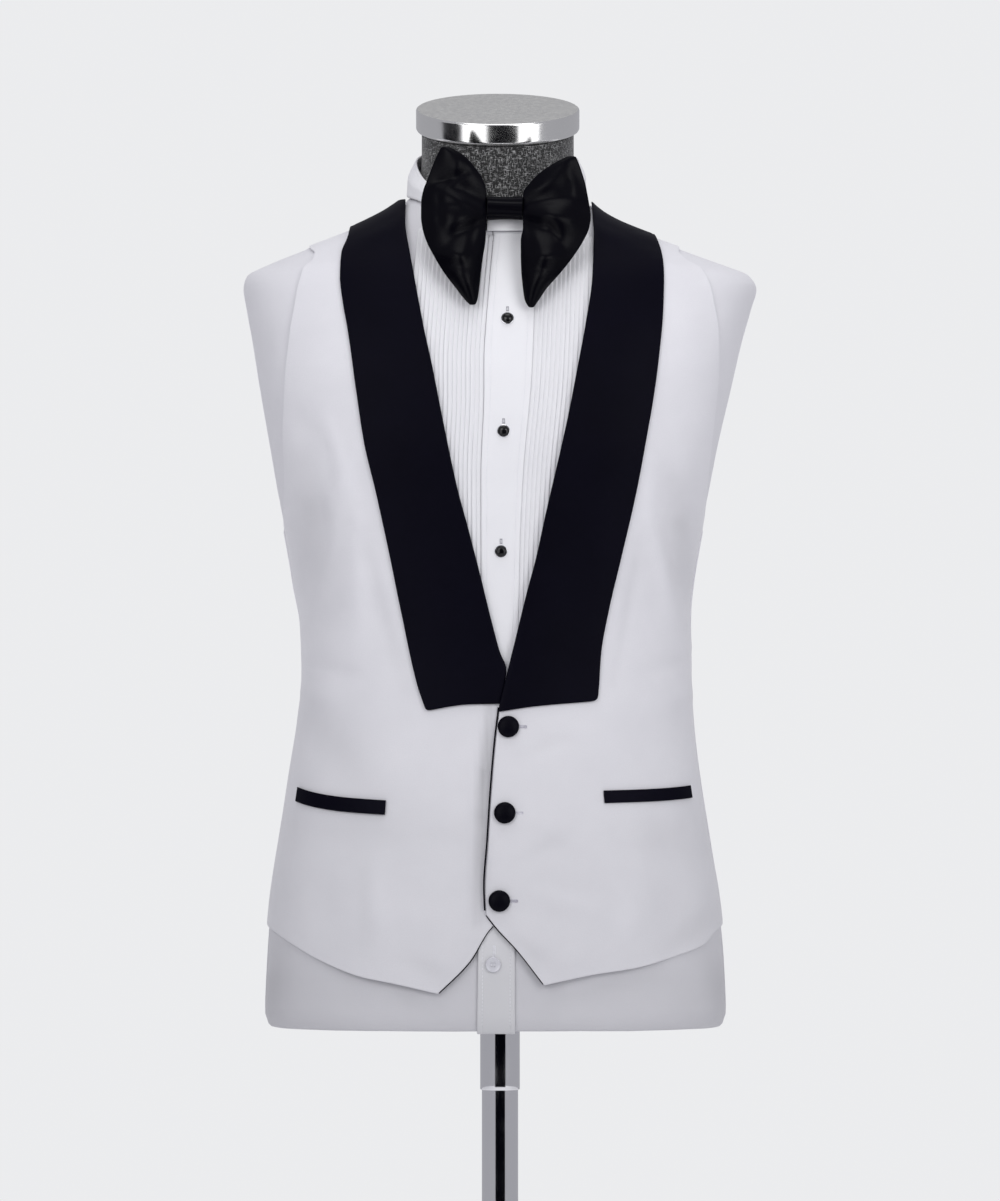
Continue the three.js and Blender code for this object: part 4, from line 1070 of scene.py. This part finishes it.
def waistcoat_spots(side):
    """Turns and heights of a front's points: level rows, and rows that run down to the hem."""
    hem, tip_turn = hem_curve(side)
    armhole = np.concatenate([np.arange(1212, 1250, 1.3), np.arange(1436, 1466, 1.0)])
    close_rows = np.concatenate([armhole, V_TIP[side] + np.array([-0.6, 0, 0.6])])
    levels = rows_from(HEM_START, CLOTH_TOP, 5, extra=close_rows, edges=SHORT_EDGE_STEPS)
    levels = levels[levels > HEM_START + 0.9]
    start, end = [at(side, np.array(float(HEM_START))) for at in (inner_turn, outer_turn)]
    width = 275
    tip_share = float((side * math.radians(tip_turn) - start) / (end - start))
    shares = spread(width, 4, marks=tip_share * width + np.array([-1.2, -0.4, 0, 0.4, 1.2]))
    low = hem(side * np.degrees(mix(start, end, shares)))
    rows = np.repeat(levels[:, None], len(shares), axis=1)
    low_rows = mix(HEM_START, low[None, :], spread(70, 4.5)[:, None])
    low_rows[:, 0] = np.minimum(low_rows[:, 0], HEM_START)
    z = np.concatenate([rows, low_rows])
    return mix(inner_turn(side, z), outer_turn(side, z), shares), z


def make_waistcoat_front(side, word):
    """A front, whose folds are held flat under the lapel and at the shoulder."""
    turn, z = waistcoat_spots(side)
    folds = front_creases(turn, z, FRONT_FOLDS)
    rise = front_creases(turn, z, FRONT_CREASES) + folds
    past_lapel = side * form_point(turn, z)[..., 0] - np.abs(smooth_curve(LAPEL_OUTER[side])(z))
    under_lapel = smooth_step(1040, 1060, z) * (1 - smooth_step(0, 14, past_lapel))
    on_shoulder = smooth_step(SHOULDER_FOOT, WAISTCOAT_FOLDS_END, z)
    rise = eased_above(FRONT_FLOOR, rise) * (1 - 0.6 * under_lapel) * (1 - on_shoulder)
    middle = laid(turn, z, front_lift(side, turn), WAISTCOAT_CLOTH, rise)
    node = "waistcoat_front_" + word
    return sew(
        node + "_cloth", node, WAISTCOAT_LOOK, middle, WAISTCOAT_CLOTH,
        side=side, seams=(1.0, SEAM_ROUNDING), shade=FOLD_PAINTED_SHADE * folds,
    )


def make_waistcoat_back():
    """The back, with a seam down its middle."""
    level = rows_from(BACK_HEM, SHOULDER_FOOT, 6, extra=np.arange(1210, 1256, 1.3))
    level = level[level < SHOULDER_FOOT - 0.3]
    rows = raised_rows(1 - spread(64, 1.6), smooth_curve(BACK_NECK)) + level_rows(level)
    width = 540
    turn, z = place_rows(
        rows, spread(width, 5, marks=width / 2 + np.array([-1.4, -0.7, 0, 0.7, 1.4])),
        lambda edge: armhole_turn(WAISTCOAT_ARMHOLE, 3, edge) + WAISTCOAT_SEAM_TURN,
        lambda edge: 360 - armhole_turn(WAISTCOAT_ARMHOLE, 3, edge) - WAISTCOAT_SEAM_TURN,
    )
    around = around_back(turn)
    seam = -0.7 * dent(around, 0.9) + 0.35 * dent(np.abs(around) - 2.2, 1.2)
    rise = eased_above(BACK_FLOOR, back_creases(turn, z, BACK_CREASES))
    rise = rise * (1 - smooth_step(SHOULDER_FOOT, WAISTCOAT_FOLDS_END, z)) + seam
    behind = smooth_step(90, 108, folded_turn(np.degrees(turn)))
    lift = mix(WAISTCOAT_SIDE_LIFT, WAISTCOAT_BACK_LIFT, behind)
    middle = laid(turn, z, lift, WAISTCOAT_CLOTH, rise)
    return sew(
        "waistcoat_back_cloth", "waistcoat_back", WAISTCOAT_LOOK, middle, WAISTCOAT_CLOTH,
        seams=(SEAM_ROUNDING, SEAM_ROUNDING),
    )


def make_lapel(side, word):
    """A wide lapel, whose roll curls in at the inner edge and whose lower corner is rounded."""
    roll, outer, bottom = [
        smooth_curve(rows[side]) for rows in (ROLL_EDGE, LAPEL_OUTER, LAPEL_BOTTOM)
    ]
    width, corner_radius = 90, 3.2
    over_front = WAISTCOAT_CLOTH + LAPEL_GAP
    on_shoulder = np.arange(SHOULDER_FOOT, CLOTH_TOP, 2.0)
    levels = rows_from(LAPEL_LOWEST_ROW, CLOTH_TOP, 5, extra=on_shoulder, edges=SHORT_EDGE_STEPS)
    shares = spread(width, 2.6)
    downs = 0.03 + 0.97 * spread(30, 2.6)[1:, None]
    corner = 2.2 * (1 - np.clip((1 - shares) * width / corner_radius, 0, 1)) ** 2
    low_rows = mix(LAPEL_LOWEST_ROW, bottom(shares), downs) + corner * downs**4
    z = np.concatenate([np.repeat(levels[:, None], len(shares), axis=1), low_rows])
    lift = WAISTCOAT_FRONT_LIFT + over_front
    turn = mix(turn_at(roll(z), z, lift), turn_at(outer(z), z, lift), shares)
    curl = -0.5 * dent(shares * width, 1.4)
    ease = 0.5 * np.sin(form_point(turn, z)[..., 2] / 71 + side) * np.sin(math.pi * shares)
    rise = np.maximum(ease, -0.15) + curl
    middle = laid(turn, z, front_lift(side, turn) + over_front, LAPEL_CLOTH, rise)
    node = "lapel_" + word
    return sew(node + "_satin", node, LAPEL_LOOK, middle, LAPEL_CLOTH, side=side)


def make_piping():
    """The thin black edge of the left front."""
    levels = rows_from(*PIPING_ENDS, 4, edges=THIN_EDGE_STEPS)
    share, z = np.meshgrid(np.linspace(0, 1, 9), levels)
    edge = smooth_curve(FRONT_EDGE[1])
    turn = turn_at(edge(z) + share * PIPING_WIDTH, z, WAISTCOAT_FRONT_LIFT)
    middle = laid(turn, z, front_lift(1, turn), PIPING_CLOTH)
    return sew("front_piping_satin", "front_edge_piping", LAPEL_LOOK, middle, PIPING_CLOTH)


def make_facing(side, word):
    """A narrow edge of black facing that peeps out under the cut-away hem; it also stands in for the
    shadow line under that hem, as a painted shadow.
    """
    hem, _ = hem_curve(side)
    over_hem, under_hem, inset = 0.8, -0.95, 0.4
    degrees, up = np.meshgrid(np.linspace(*FACING_SHADOW_LINE[side], 48), np.linspace(over_hem, under_hem, 6))
    turn = side * np.radians(degrees)
    lift = front_lift(side, turn) - inset - FACING_SHADOW_LINE_CLOTH / 2
    middle = laid(turn, hem(degrees) + up, lift, FACING_SHADOW_LINE_CLOTH)
    return sew("hem_facing_shadow_line_" + word + "_satin", None, LAPEL_LOOK, middle, FACING_SHADOW_LINE_CLOTH, side=side)


def make_welt(side, word):
    """A pocket's welt, which sags a little and has a groove below its top edge."""
    near, far, near_top, far_top, height, sag = WELTS[side]
    length, groove_down = 104, 1.8
    shares = spread(length, 3, edges=WELT_EDGE_STEPS)
    share, down = np.meshgrid(shares, spread(height, 1.6, edges=SHORT_EDGE_STEPS))
    turn = side * np.radians(mix(near, far, share))
    bow = np.sin(math.pi * share)
    z = mix(near_top, far_top, share) - height * down - sag * bow
    groove = -0.25 * dent(down * height - groove_down, 0.5)
    lift = front_lift(side, turn) + WAISTCOAT_CLOTH + LAYER_GAP
    rise = np.maximum(front_creases(turn, z, FRONT_CREASES), -0.4)
    middle = laid(turn, z, lift, WELT_CLOTH, 0.25 * bow + groove + rise)
    node = "welt_" + word
    return sew(node + "_satin", node, LAPEL_LOOK, middle, WELT_CLOTH, side=side)


# Bow tie


def wing_rise(side, x, z, share, down):
    """How far a wing's face swells forward, with folds that run out from the knot."""
    swell = WING_SWELL * np.sin(math.pi * share) * np.sin(math.pi * down) ** 0.6
    away = np.hypot(x - KNOT["x"], z - KNOT["z"])
    heading = np.degrees(np.arctan2(z - KNOT["z"], np.abs(x - KNOT["x"])))
    strength = np.minimum(1, away / 40) * np.sin(math.pi * np.minimum(1, 0.15 + 0.85 * share))
    folds = sum(rise * dent(heading - aim, width) for aim, width, rise in WING_FOLDS)
    return swell + folds * strength + creased(x, z, BOW_CREASES[side])


def make_wing(side, word):
    rows = WINGS[side][::-1]
    far, near = smooth_curve(rows, 1), smooth_curve(rows, 2)
    top, foot = rows[-1][0], rows[0][0]
    width = 60
    shares = spread(width, 1.4, edges=WING_EDGE_STEPS)
    share, z = np.meshgrid(shares, rows_from(foot, top, 1.8, edges=THIN_EDGE_STEPS))
    x = mix(near(z), far(z), share)
    down = np.clip((top - z) / (top - foot), 0, 1)
    y = smooth_curve(WING_FACE)(z) - wing_rise(side, x, z, share, down) - BOW_CLOTH / 2
    node = "bow_wing_" + word
    return sew(node + "_satin", node, BOW_LOOK, stack(x, y, z), BOW_CLOTH, side=side)


def make_knot():
    """The pleated band round the middle of the bow, in front of the collar."""
    collar_lift = SHIRT_LIFT + SHIRT_CLOTH + LAYER_GAP + COLLAR_CLOTH
    collar_front = on_form(0.0, KNOT["collar_z"], collar_lift)[1]
    middle_y = collar_front - KNOT_BACK_GAP - KNOT["half_depth"]
    angles = np.linspace(0, 2 * math.pi, 96, endpoint=False)
    stations = 2 * spread(2 * KNOT["half_width"], 1.3, edges=WING_EDGE_STEPS[:4]) - 1
    angle, station = np.meshgrid(angles, stations)
    waist = 0.93 + 0.07 * station**2
    cos, sin = np.cos(angle), np.sin(angle)
    inset = BOW_CLOTH / 2
    pleat = 0.45 * np.sin(angle * 9 + station * 0.7) * np.where(cos > -0.3, 1, 0.3)
    squareness, wider_behind = 0.75, 1.6
    depth = KNOT["half_depth"] - inset + pleat
    height = KNOT["half_height"] * waist - inset + pleat
    y = middle_y - depth * np.sign(cos) * np.abs(cos) ** squareness
    z = KNOT["z"] + height * np.sign(sin) * np.abs(sin) ** squareness
    half_width = KNOT["half_width"] + wider_behind * smooth_step(0.05, -0.3, cos)
    x = KNOT["x"] + half_width * station + 0.25 * np.sin(angle * 2)
    piece = thick_cloth("bow_knot_satin", stack(x, y, z), BOW_CLOTH, wrap=True, rounding=0.08)
    bpy.ops.object.select_all(action="DESELECT")
    bpy.context.view_layer.objects.active = piece
    piece.select_set(True)
    bpy.ops.object.mode_set(mode="EDIT")
    bpy.ops.mesh.select_all(action="SELECT")
    bpy.ops.mesh.normals_make_consistent(inside=False)
    bpy.ops.object.mode_set(mode="OBJECT")
    return finish_piece(piece, BOW_LOOK, "bow_knot")


# Turned pieces, made from a circle that is drawn out ring by ring


def turned(name, profile, sides):
    """A closed piece turned about the origin's Z, from rows of radius and height."""
    bpy.ops.object.select_all(action="DESELECT")
    radius, level = profile[0]
    bpy.ops.mesh.primitive_circle_add(
        vertices=sides, radius=radius * MM, fill_type="NOTHING", location=(0, 0, level * MM)
    )
    piece = bpy.context.object
    piece.name = piece.data.name = name
    bpy.ops.object.transform_apply(location=True, rotation=True, scale=True)
    bpy.ops.object.mode_set(mode="EDIT")
    bpy.ops.mesh.select_all(action="SELECT")
    for next_radius, next_level in profile[1:]:
        bpy.ops.mesh.extrude_region_move(
            TRANSFORM_OT_translate={"value": (0, 0, (next_level - level) * MM)}
        )
        share = next_radius / radius
        bpy.ops.transform.resize(value=(share, share, 1), center_override=(0, 0, next_level * MM))
        radius, level = next_radius, next_level
    bpy.ops.mesh.select_all(action="SELECT")
    bpy.ops.mesh.remove_doubles(threshold=0.002 * MM)
    bpy.ops.mesh.select_all(action="DESELECT")
    bpy.ops.mesh.select_non_manifold()
    bpy.ops.mesh.edge_face_add()
    bpy.ops.mesh.select_all(action="SELECT")
    bpy.ops.mesh.normals_make_consistent(inside=False)
    bpy.ops.object.mode_set(mode="OBJECT")
    bpy.ops.object.shade_smooth_by_angle(angle=math.radians(35))
    for modifier in list(piece.modifiers):
        bpy.ops.object.modifier_apply(modifier=modifier.name)
    return piece


def seat(x, z, lift):
    """The move that seats a piece made at the origin on the form, its +Z outward and +Y up."""
    x, z = np.array(float(x)), np.array(float(z))
    turn = turn_at(x, z, lift)
    out = form_normal(turn, z)
    up = np.array([0, 0, 1.0]) - out * out[2]
    up /= np.linalg.norm(up)
    move = Matrix.Translation(Vector((on_form(turn, z, lift) * MM).tolist()))
    axes = np.stack([np.cross(up, out), up, out], axis=-1)
    return move @ Matrix(axes.tolist()).to_4x4()


def set_copies(first, names, spots, lift):
    """Copies of a piece, each with its own mesh, seated at their spots. The first is used last."""
    pieces = []
    for name, spot in zip(names, spots):
        piece = first
        if name != names[-1]:
            piece = first.copy()
            piece.data = first.data.copy()
            bpy.context.scene.collection.objects.link(piece)
        piece.name = piece.data.name = name
        piece.data.transform(seat(*spot, lift))
        pieces.append(piece)
    return pieces


# Thread


def thread_run(name, look, centres, directions, normals, length, radius):
    """One short length of thread for each centre, lying along its direction on the cloth."""
    sides = 6
    # Each ring's place along the thread and its size
    rings = [(-0.5, 0.35), (-0.32, 1.0), (0.32, 1.0), (0.5, 0.35)]
    points = []
    faces = []
    for centre, direction, normal in zip(centres, directions, normals):
        direction = direction / np.linalg.norm(direction)
        side_way = np.cross(normal, direction)
        start = len(points)
        for place, size in rings:
            for i in range(sides):
                angle = 2 * math.pi * i / sides
                off = side_way * math.cos(angle) + normal * math.sin(angle)
                points.append(centre + direction * place * length + off * radius * size)
        for ring in range(len(rings) - 1):
            for i in range(sides):
                a = start + ring * sides + i
                b = start + ring * sides + (i + 1) % sides
                faces.append([a, b, b + sides, a + sides])
        faces.append([start + i for i in range(sides)][::-1])
        last = start + (len(rings) - 1) * sides
        faces.append([last + i for i in range(sides)])
    uv = np.array(points)[:, [0, 2]]
    piece = new_mesh(name, np.array(points), faces, uv)
    return finish_piece(piece, look)


def stitch_line(points, normals):
    """Centres, directions and normals of stitches a pitch apart along a line of points."""
    run = lengths(points[None], 1)[0]
    stops = np.arange(STITCH_PITCH, run[-1] - STITCH_PITCH / 2, STITCH_PITCH)
    reach = 0.8

    def along(values, at):
        return np.stack([np.interp(at, run, values[:, k]) for k in range(3)], axis=-1)

    ahead = along(points, stops + reach) - along(points, stops - reach)
    return along(points, stops), ahead, along(normals, stops)


def stitches(name, lines):
    """One piece with the stitches of several lines."""
    runs = [stitch_line(points, normals) for points, normals in lines]
    joined = [np.concatenate(parts) for parts in zip(*runs)]
    thread_run(name, THREAD_LOOK, *joined, STITCH_LENGTH, STITCH_RADIUS)


def make_placket_stitches():
    z = np.linspace(FORM_BOTTOM + 6, PLACKET_TOP - 3, 240)
    lift = np.full(len(z), BIB_LIFT + PLACKET_CLOTH - 0.16)
    near = STITCHES_FROM_EDGE / PLACKET_WIDTH
    turns = [placket_turn(share, z) for share in (near, 1 - near)]
    stitches("placket_stitches", [(on_form(turn, z, lift), form_normal(turn, z)) for turn in turns])


def make_collar_stitches():
    degrees = COLLAR_START + np.linspace(0.012, 0.988, 400) * (360 - COLLAR_GAP)
    up = np.full(len(degrees), 1 - STITCHES_FROM_EDGE / COLLAR_HEIGHT)
    points = collar_point(degrees, up, np.full(len(degrees), COLLAR_CLOTH - 0.1))
    outward = points - collar_point(degrees, up, np.zeros(len(degrees)))
    outward /= np.linalg.norm(outward, axis=-1, keepdims=True)
    stitches("collar_stitches", [(points, outward)])


def make_armhole_stitches():
    """A row of stitches runs round each armhole of the shirt, near its hemmed edge."""
    z = np.linspace(1243, 1429, 160)
    inset = 2.0
    in_front = (1, -inset, np.full(len(z), SHIRT_LIFT + SHIRT_CLOTH + 0.05))
    behind = (2, inset, shirt_back_lift(z) + SHIRT_CLOTH)
    lines = []
    for side, _ in SIDES:
        for column, shift, lift in (in_front, behind):
            turn = side * np.radians(armhole_turn(SHIRT_ARMHOLE, column, z) + shift)
            lines.append((on_form(turn, z, lift), form_normal(turn, z)))
    stitches("armhole_stitches", lines)


def buttonholes(names, look, spots, lift, length, upright):
    """Close bars of thread on both sides of a narrow slit, and a bar across each end."""
    bar_length, bar_radius, bar_pitch, bar_off, end_off = 1.15, 0.26, 0.62, 0.75, 0.6
    along, cross = np.array([1.0, 0, 0]), np.array([0, 1.0, 0])
    if upright:
        along, cross = cross, along
    count = int(length / bar_pitch)
    bars = []
    for i in range(count + 1):
        place = (i / count - 0.5) * length
        bars += [(along * place + cross * side * bar_off, cross) for side in (-1, 1)]
    for way in (-1, 1):
        place = way * (length / 2 + end_off)
        bars += [(along * place + cross * shift, along) for shift in (-0.9, -0.3, 0.3, 0.9)]
    centres, ways = zip(*bars)
    outward = [np.array([0, 0, 1.0])] * len(bars)
    first = thread_run("buttonhole", look, centres, ways, outward, bar_length, bar_radius)
    for piece in set_copies(first, names, spots, lift):
        finish_piece(piece, look)


# Buttons and studs


BUTTON_PROFILE = [
    (6.9, 0), (8.3, 0.35), (9.2, 1.3), (9.35, 2.2), (9.0, 3.1), (8.2, 3.9), (7.0, 4.7),
    (5.4, 5.3), (3.6, 5.75), (1.8, 5.95), (0.4, 6.0),
]
RIM_PROFILE = [(3.6, 0), (5.2, 0.1), (5.5, 0.55), (5.4, 0.95), (5.1, 1.15), (4.9, 1.0), (4.6, 0.8)]
STONE_PROFILE = [
    (4.7, 0.7), (4.85, 1.2), (4.6, 2.1), (3.8, 2.95), (2.6, 3.5), (1.2, 3.8), (0.2, 3.85),
]
DISC_PROFILE = [
    (5.2, 0), (6.2, 0.15), (6.7, 0.8), (6.6, 1.6), (6.0, 2.05), (5.2, 1.85), (4.6, 1.55),
    (2.8, 1.45), (0.4, 1.45),
]
FRONT_FACE = WAISTCOAT_FRONT_LIFT + OVERLAP_RISE + WAISTCOAT_CLOTH + BUTTON_GAP
PLACKET_FACE = BIB_LIFT + PLACKET_CLOTH + BUTTON_GAP


def numbered(word, ending=""):
    return [word + "_" + str(i) + ending for i in (1, 2, 3)]


def make_buttons():
    first = turned("waistcoat_button", BUTTON_PROFILE, 48)
    names = numbered("waistcoat_button", "_covered")
    pieces = set_copies(first, names, WAISTCOAT_BUTTONS, FRONT_FACE)
    for node, piece in zip(numbered("waistcoat_button"), pieces):
        finish_piece(piece, BUTTON_LOOK, node)
    spots = [(x + 11, z) for x, z in WAISTCOAT_BUTTONS]
    names = numbered("waistcoat_buttonhole")
    buttonholes(names, WAISTCOAT_THREAD_LOOK, spots, FRONT_FACE - 0.2, 8, False)


def make_studs():
    first = turned("stud_rim", RIM_PROFILE, 40)
    for piece in set_copies(first, numbered("stud", "_rim"), STUDS, PLACKET_FACE):
        finish_piece(piece, CHROME_LOOK)
    first = turned("stud_stone", STONE_PROFILE, 40)
    stones = set_copies(first, numbered("stud", "_stone"), STUDS, PLACKET_FACE)
    for node, piece in zip(numbered("stud"), stones):
        finish_piece(piece, STUD_LOOK, node)
    spots = [(x, z + 8.6) for x, z in STUDS]
    buttonholes(numbered("stud_hole"), SLIT_LOOK, spots, PLACKET_FACE - 0.25, 2.4, True)


def make_shirt_button():
    """A clear button with four holes, two threads across them and its buttonhole above."""
    x, z = SHIRT_BUTTON
    hole_off, hole_radius = 1.2, 0.62
    piece = turned("shirt_button_disc", DISC_PROFILE, 40)
    for side in (-1, 1):
        for up in (-1, 1):
            bpy.ops.object.select_all(action="DESELECT")
            bpy.ops.mesh.primitive_cylinder_add(
                vertices=14, radius=hole_radius * MM, depth=6 * MM,
                location=(side * hole_off * MM, up * hole_off * MM, 0.5 * MM),
            )
            drill = bpy.context.object
            piece.select_set(True)
            bpy.context.view_layer.objects.active = piece
            cut = piece.modifiers.new("thread hole", "BOOLEAN")
            cut.operation = "DIFFERENCE"
            cut.object = drill
            bpy.ops.object.modifier_apply(modifier=cut.name)
            bpy.data.objects.remove(drill)
    centres = [np.array([side * hole_off, 0, 1.5]) for side in (-1, 1)]
    up, outward = np.eye(3)[1], np.eye(3)[2]
    thread = thread_run(
        "shirt_button_thread", THREAD_LOOK, centres, [up] * 2, [outward] * 2, 3.2, 0.3
    )
    for part in (piece, thread):
        part.data.transform(seat(x, z, PLACKET_FACE))
    finish_piece(piece, PEARL_LOOK, "shirt_button")
    buttonholes(["shirt_buttonhole"], THREAD_LOOK, [(x + 1, z + 11)], PLACKET_FACE - 0.25, 9, True)


# Stand


CAP_PROFILE = [
    (66, 0), (69.5, 0.6), (71.6, 1.9), (72.4, 3.4), (72.5, 4.2), (72.5, 4.8), (72.5, 18.6),
    (72.5, 19.2), (72.2, 20.2), (71.3, 20.9), (70, 21), (40, 21), (0.5, 21),
]


def make_cap():
    """The neck's cap, tilted with the neck, with a brushed top."""
    cap = turned("neck_cap_chrome", CAP_PROFILE, 160)
    tilt = Matrix.Rotation(math.radians(CAP_TILT), 4, "X")
    move = Matrix.Translation(Vector((CAP_SHIFT * MM, 0, (NECK_TOP + 0.3) * MM)))
    cap.data.transform(move @ tilt)
    finish_piece(cap, RIM_LOOK, "neck_cap")
    cap.data.materials.append(BRUSHED_LOOK)
    up = tilt.to_3x3() @ Vector((0, 0, 1))
    for face in cap.data.polygons:
        if face.normal.dot(up) > 0.98:
            face.material_index = 1


def make_stand():
    """The tube in the form, the pole that it slides on and the base that the pole turns in."""
    inside = POLE_RADIUS + SLIDE_GAP
    tube_profile = [
        (TUBE_RADIUS, TUBE_TOP), (TUBE_RADIUS, TUBE_BOTTOM + 6), (TUBE_RADIUS, TUBE_BOTTOM + 0.8),
        (TUBE_RADIUS - 0.5, TUBE_BOTTOM), (inside + 0.2, TUBE_BOTTOM), (inside, TUBE_BOTTOM + 0.4),
        (inside, TUBE_TOP - 6),
    ]
    tube = turned("upper_tube_chrome", tube_profile, 96)
    finish_piece(tube, CHROME_LOOK, "upper_tube")

    pole_profile = [
        (POLE_RADIUS - 2, POLE_FOOT), (POLE_RADIUS, POLE_FOOT), (POLE_RADIUS, 400),
        (POLE_RADIUS, POLE_TOP - 0.6), (POLE_RADIUS - 0.6, POLE_TOP), (POLE_RADIUS - 2, POLE_TOP),
    ]
    pole = turned("lower_pole_chrome", pole_profile, 96)
    finish_piece(pole, CHROME_LOOK, "lower_pole", body="pole")

    base_profile = [
        (BASE_RADIUS - 3, 0), (BASE_RADIUS - 0.6, 0.8), (BASE_RADIUS, 2.2),
        (BASE_RADIUS, BASE_RIM - 1.5), (BASE_RADIUS - 1.2, BASE_RIM),
        (BASE_RADIUS * 0.96, BASE_RIM + 1.6),
        (BASE_RADIUS * 0.9, BASE_RIM + 3.5), (BASE_RADIUS * 0.7, BASE_RIM + 6),
        (BASE_RADIUS * 0.5, BASE_RIM + 8), (BASE_RADIUS * 0.3, BASE_RIM + 9.4),
        (BASE_HUB_RADIUS + 8, BASE_RIM + 10.4), (BASE_HUB_RADIUS + 3, BASE_RIM + 12),
        (BASE_HUB_RADIUS + 0.6, BASE_RIM + 14.5), (BASE_HUB_RADIUS, BASE_RIM + 17.5),
        (BASE_HUB_RADIUS - 1.6, BASE_HUB_TOP - 2.5), (BASE_HUB_RADIUS - 2.4, BASE_HUB_TOP - 0.6),
        (BASE_HUB_RADIUS - 3.6, BASE_HUB_TOP), (inside + 0.8, BASE_HUB_TOP),
        (inside, BASE_HUB_TOP - 0.8), (inside, 10),
    ]
    base = turned("stand_base_chrome", base_profile, 160)
    finish_piece(base, CHROME_LOOK, "stand_base", body="stand")


# Studio, in metres

# Cards that the polished metal mirrors: first and last heading, distance, foot, head, bright or dark
CARDS = [
    (-29, 32, 1.9, 0.005, 0.8, "dark"), (-84, -56, 0.9, 0.78, 1.5, "dark"),
    (-53, -16, 0.9, 0.78, 1.5, "bright"), (-15, 27, 0.9, 0.78, 1.5, "dark"),
    (30, 62, 0.9, 0.78, 1.5, "bright"),
]
# Place, size and power
LAMPS = {
    "key light": ((-1.6, -3.2, 2.6), 1.8, 34),
    "fill light": ((2.0, -3.0, 2.2), 1.8, 36),
    "top light": ((0, -0.6, 3.6), 1.6, 18),
    "back light left": ((2.2, 3.0, 2.4), 1.8, 24),
    "back light right": ((-2.2, 3.0, 2.4), 1.8, 24),
}
LAMP_AIM = (0, 0, 1.15)
CAMERA_PLACE = (0, -5.0, 1.0)
CAMERA_PITCH = 1.745
FOCAL_PIXELS = 5646
PICTURE_HEIGHT = 1201
SENSOR_MM = 36


def make_card(start, end, reach, foot, head, look):
    """A card on an arc in front, between two headings, which only polished metal mirrors."""
    degrees = np.linspace(start, end, 9)
    x = reach / MM * np.sin(np.radians(degrees))
    y = -reach / MM * np.cos(np.radians(degrees))
    points = np.stack([stack(x, y, head / MM), stack(x, y, foot / MM)])
    card = new_mesh("reflection_card", points.reshape(-1, 3), grid_faces(2, len(degrees)))
    card.data.materials.append(look)
    card.visible_camera = False
    card.visible_diffuse = False
    card.visible_shadow = False


def make_world():
    """The camera sees a pale backdrop, and everything else a dimmer one."""
    scene = bpy.context.scene
    scene.view_settings.view_transform = "Standard"
    world = bpy.data.worlds.new("studio")
    scene.world = world
    world.use_nodes = True
    tree = world.node_tree
    seen = tree.nodes["Background"]
    seen.inputs["Color"].default_value = (0.835, 0.84, 0.855, 1)
    lit = add_node(tree, "Background", values=[("Color", (0.82, 0.82, 0.88, 1)), ("Strength", 0.5)])
    path = add_node(tree, "LightPath")
    chosen = add_node(
        tree, "MixShader",
        [(0, path.outputs["Is Camera Ray"]), (1, lit.outputs[0]), (2, seen.outputs[0])],
    )
    tree.links.new(chosen.outputs[0], tree.nodes["World Output"].inputs["Surface"])


def make_floor():
    bpy.ops.object.select_all(action="DESELECT")
    bpy.ops.mesh.primitive_circle_add(vertices=96, radius=2.8, fill_type="NGON")
    floor = bpy.context.object
    floor.name = "floor"
    pale, paler = (0.89, 0.89, 0.90), (0.92, 0.92, 0.93)
    look, tree, shader = new_look("pale floor", pale, 0.8)
    tinted(tree, shader, pale, paler, noise(tree, coordinates(tree, "Object"), 3, 2))
    floor.data.materials.append(look)


def make_cards():
    dark, _, _ = new_look("dark studio card", (0.002, 0.002, 0.004), 0.9, Specular_IOR_Level=0)
    bright, _, shader = new_look("bright studio card", (0.9, 0.9, 0.9), 0.9)
    shader.inputs["Emission Color"].default_value = (1, 1, 1, 1)
    shader.inputs["Emission Strength"].default_value = 1.0
    for *place, word in CARDS:
        make_card(*place, bright if word == "bright" else dark)


def make_lamps():
    for name, (place, size, power) in LAMPS.items():
        light = bpy.data.lights.new(name, "AREA")
        light.size = size
        light.energy = power
        lamp = bpy.data.objects.new(name, light)
        bpy.context.scene.collection.objects.link(lamp)
        lamp.location = place
        aim = Vector(LAMP_AIM) - Vector(place)
        lamp.rotation_euler = aim.to_track_quat("-Z", "Y").to_euler()
        lamp.visible_glossy = not name.startswith("back")


def make_camera():
    """A camera whose lens follows from its focal length in pixels of the picture."""
    camera_data = bpy.data.cameras.new("front camera")
    camera_data.lens = FOCAL_PIXELS / PICTURE_HEIGHT * SENSOR_MM
    camera_data.sensor_width = SENSOR_MM
    camera_data.clip_end = 60
    camera = bpy.data.objects.new("front camera", camera_data)
    bpy.context.scene.collection.objects.link(camera)
    camera.location = CAMERA_PLACE
    camera.rotation_euler = (math.radians(90 + CAMERA_PITCH), 0, 0)
    bpy.context.scene.camera = camera


make_form()
sheets = {}
for side, word in SIDES:
    sheets["shirt_front_" + word] = make_shirt_front(side, word)
sheets["shirt_back"] = make_shirt_back()
sheets["placket"] = make_placket()
for side, word in SIDES:
    sheets["bib_" + word] = make_bib(side, word)
sheets["collar"] = make_collar()
for side, word in SIDES:
    sheets["front_" + word] = make_waistcoat_front(side, word)
    sheets["lapel_" + word] = make_lapel(side, word)
    sheets["welt_" + word] = make_welt(side, word)
    sheets["wing_" + word] = make_wing(side, word)
sheets["back"] = make_waistcoat_back()
sheets["knot"] = make_knot()
edged = {
    "front_left": [make_piping(), make_facing(1, "left")],
    "front_right": [make_facing(-1, "right")],
}
for word, sheet in sheets.items():
    declare(edged.get(word, []))

make_placket_stitches()
make_collar_stitches()
make_armhole_stitches()
make_buttons()
make_studs()
make_shirt_button()
make_cap()
make_stand()
make_world()
make_floor()
make_cards()
make_lamps()
make_camera()
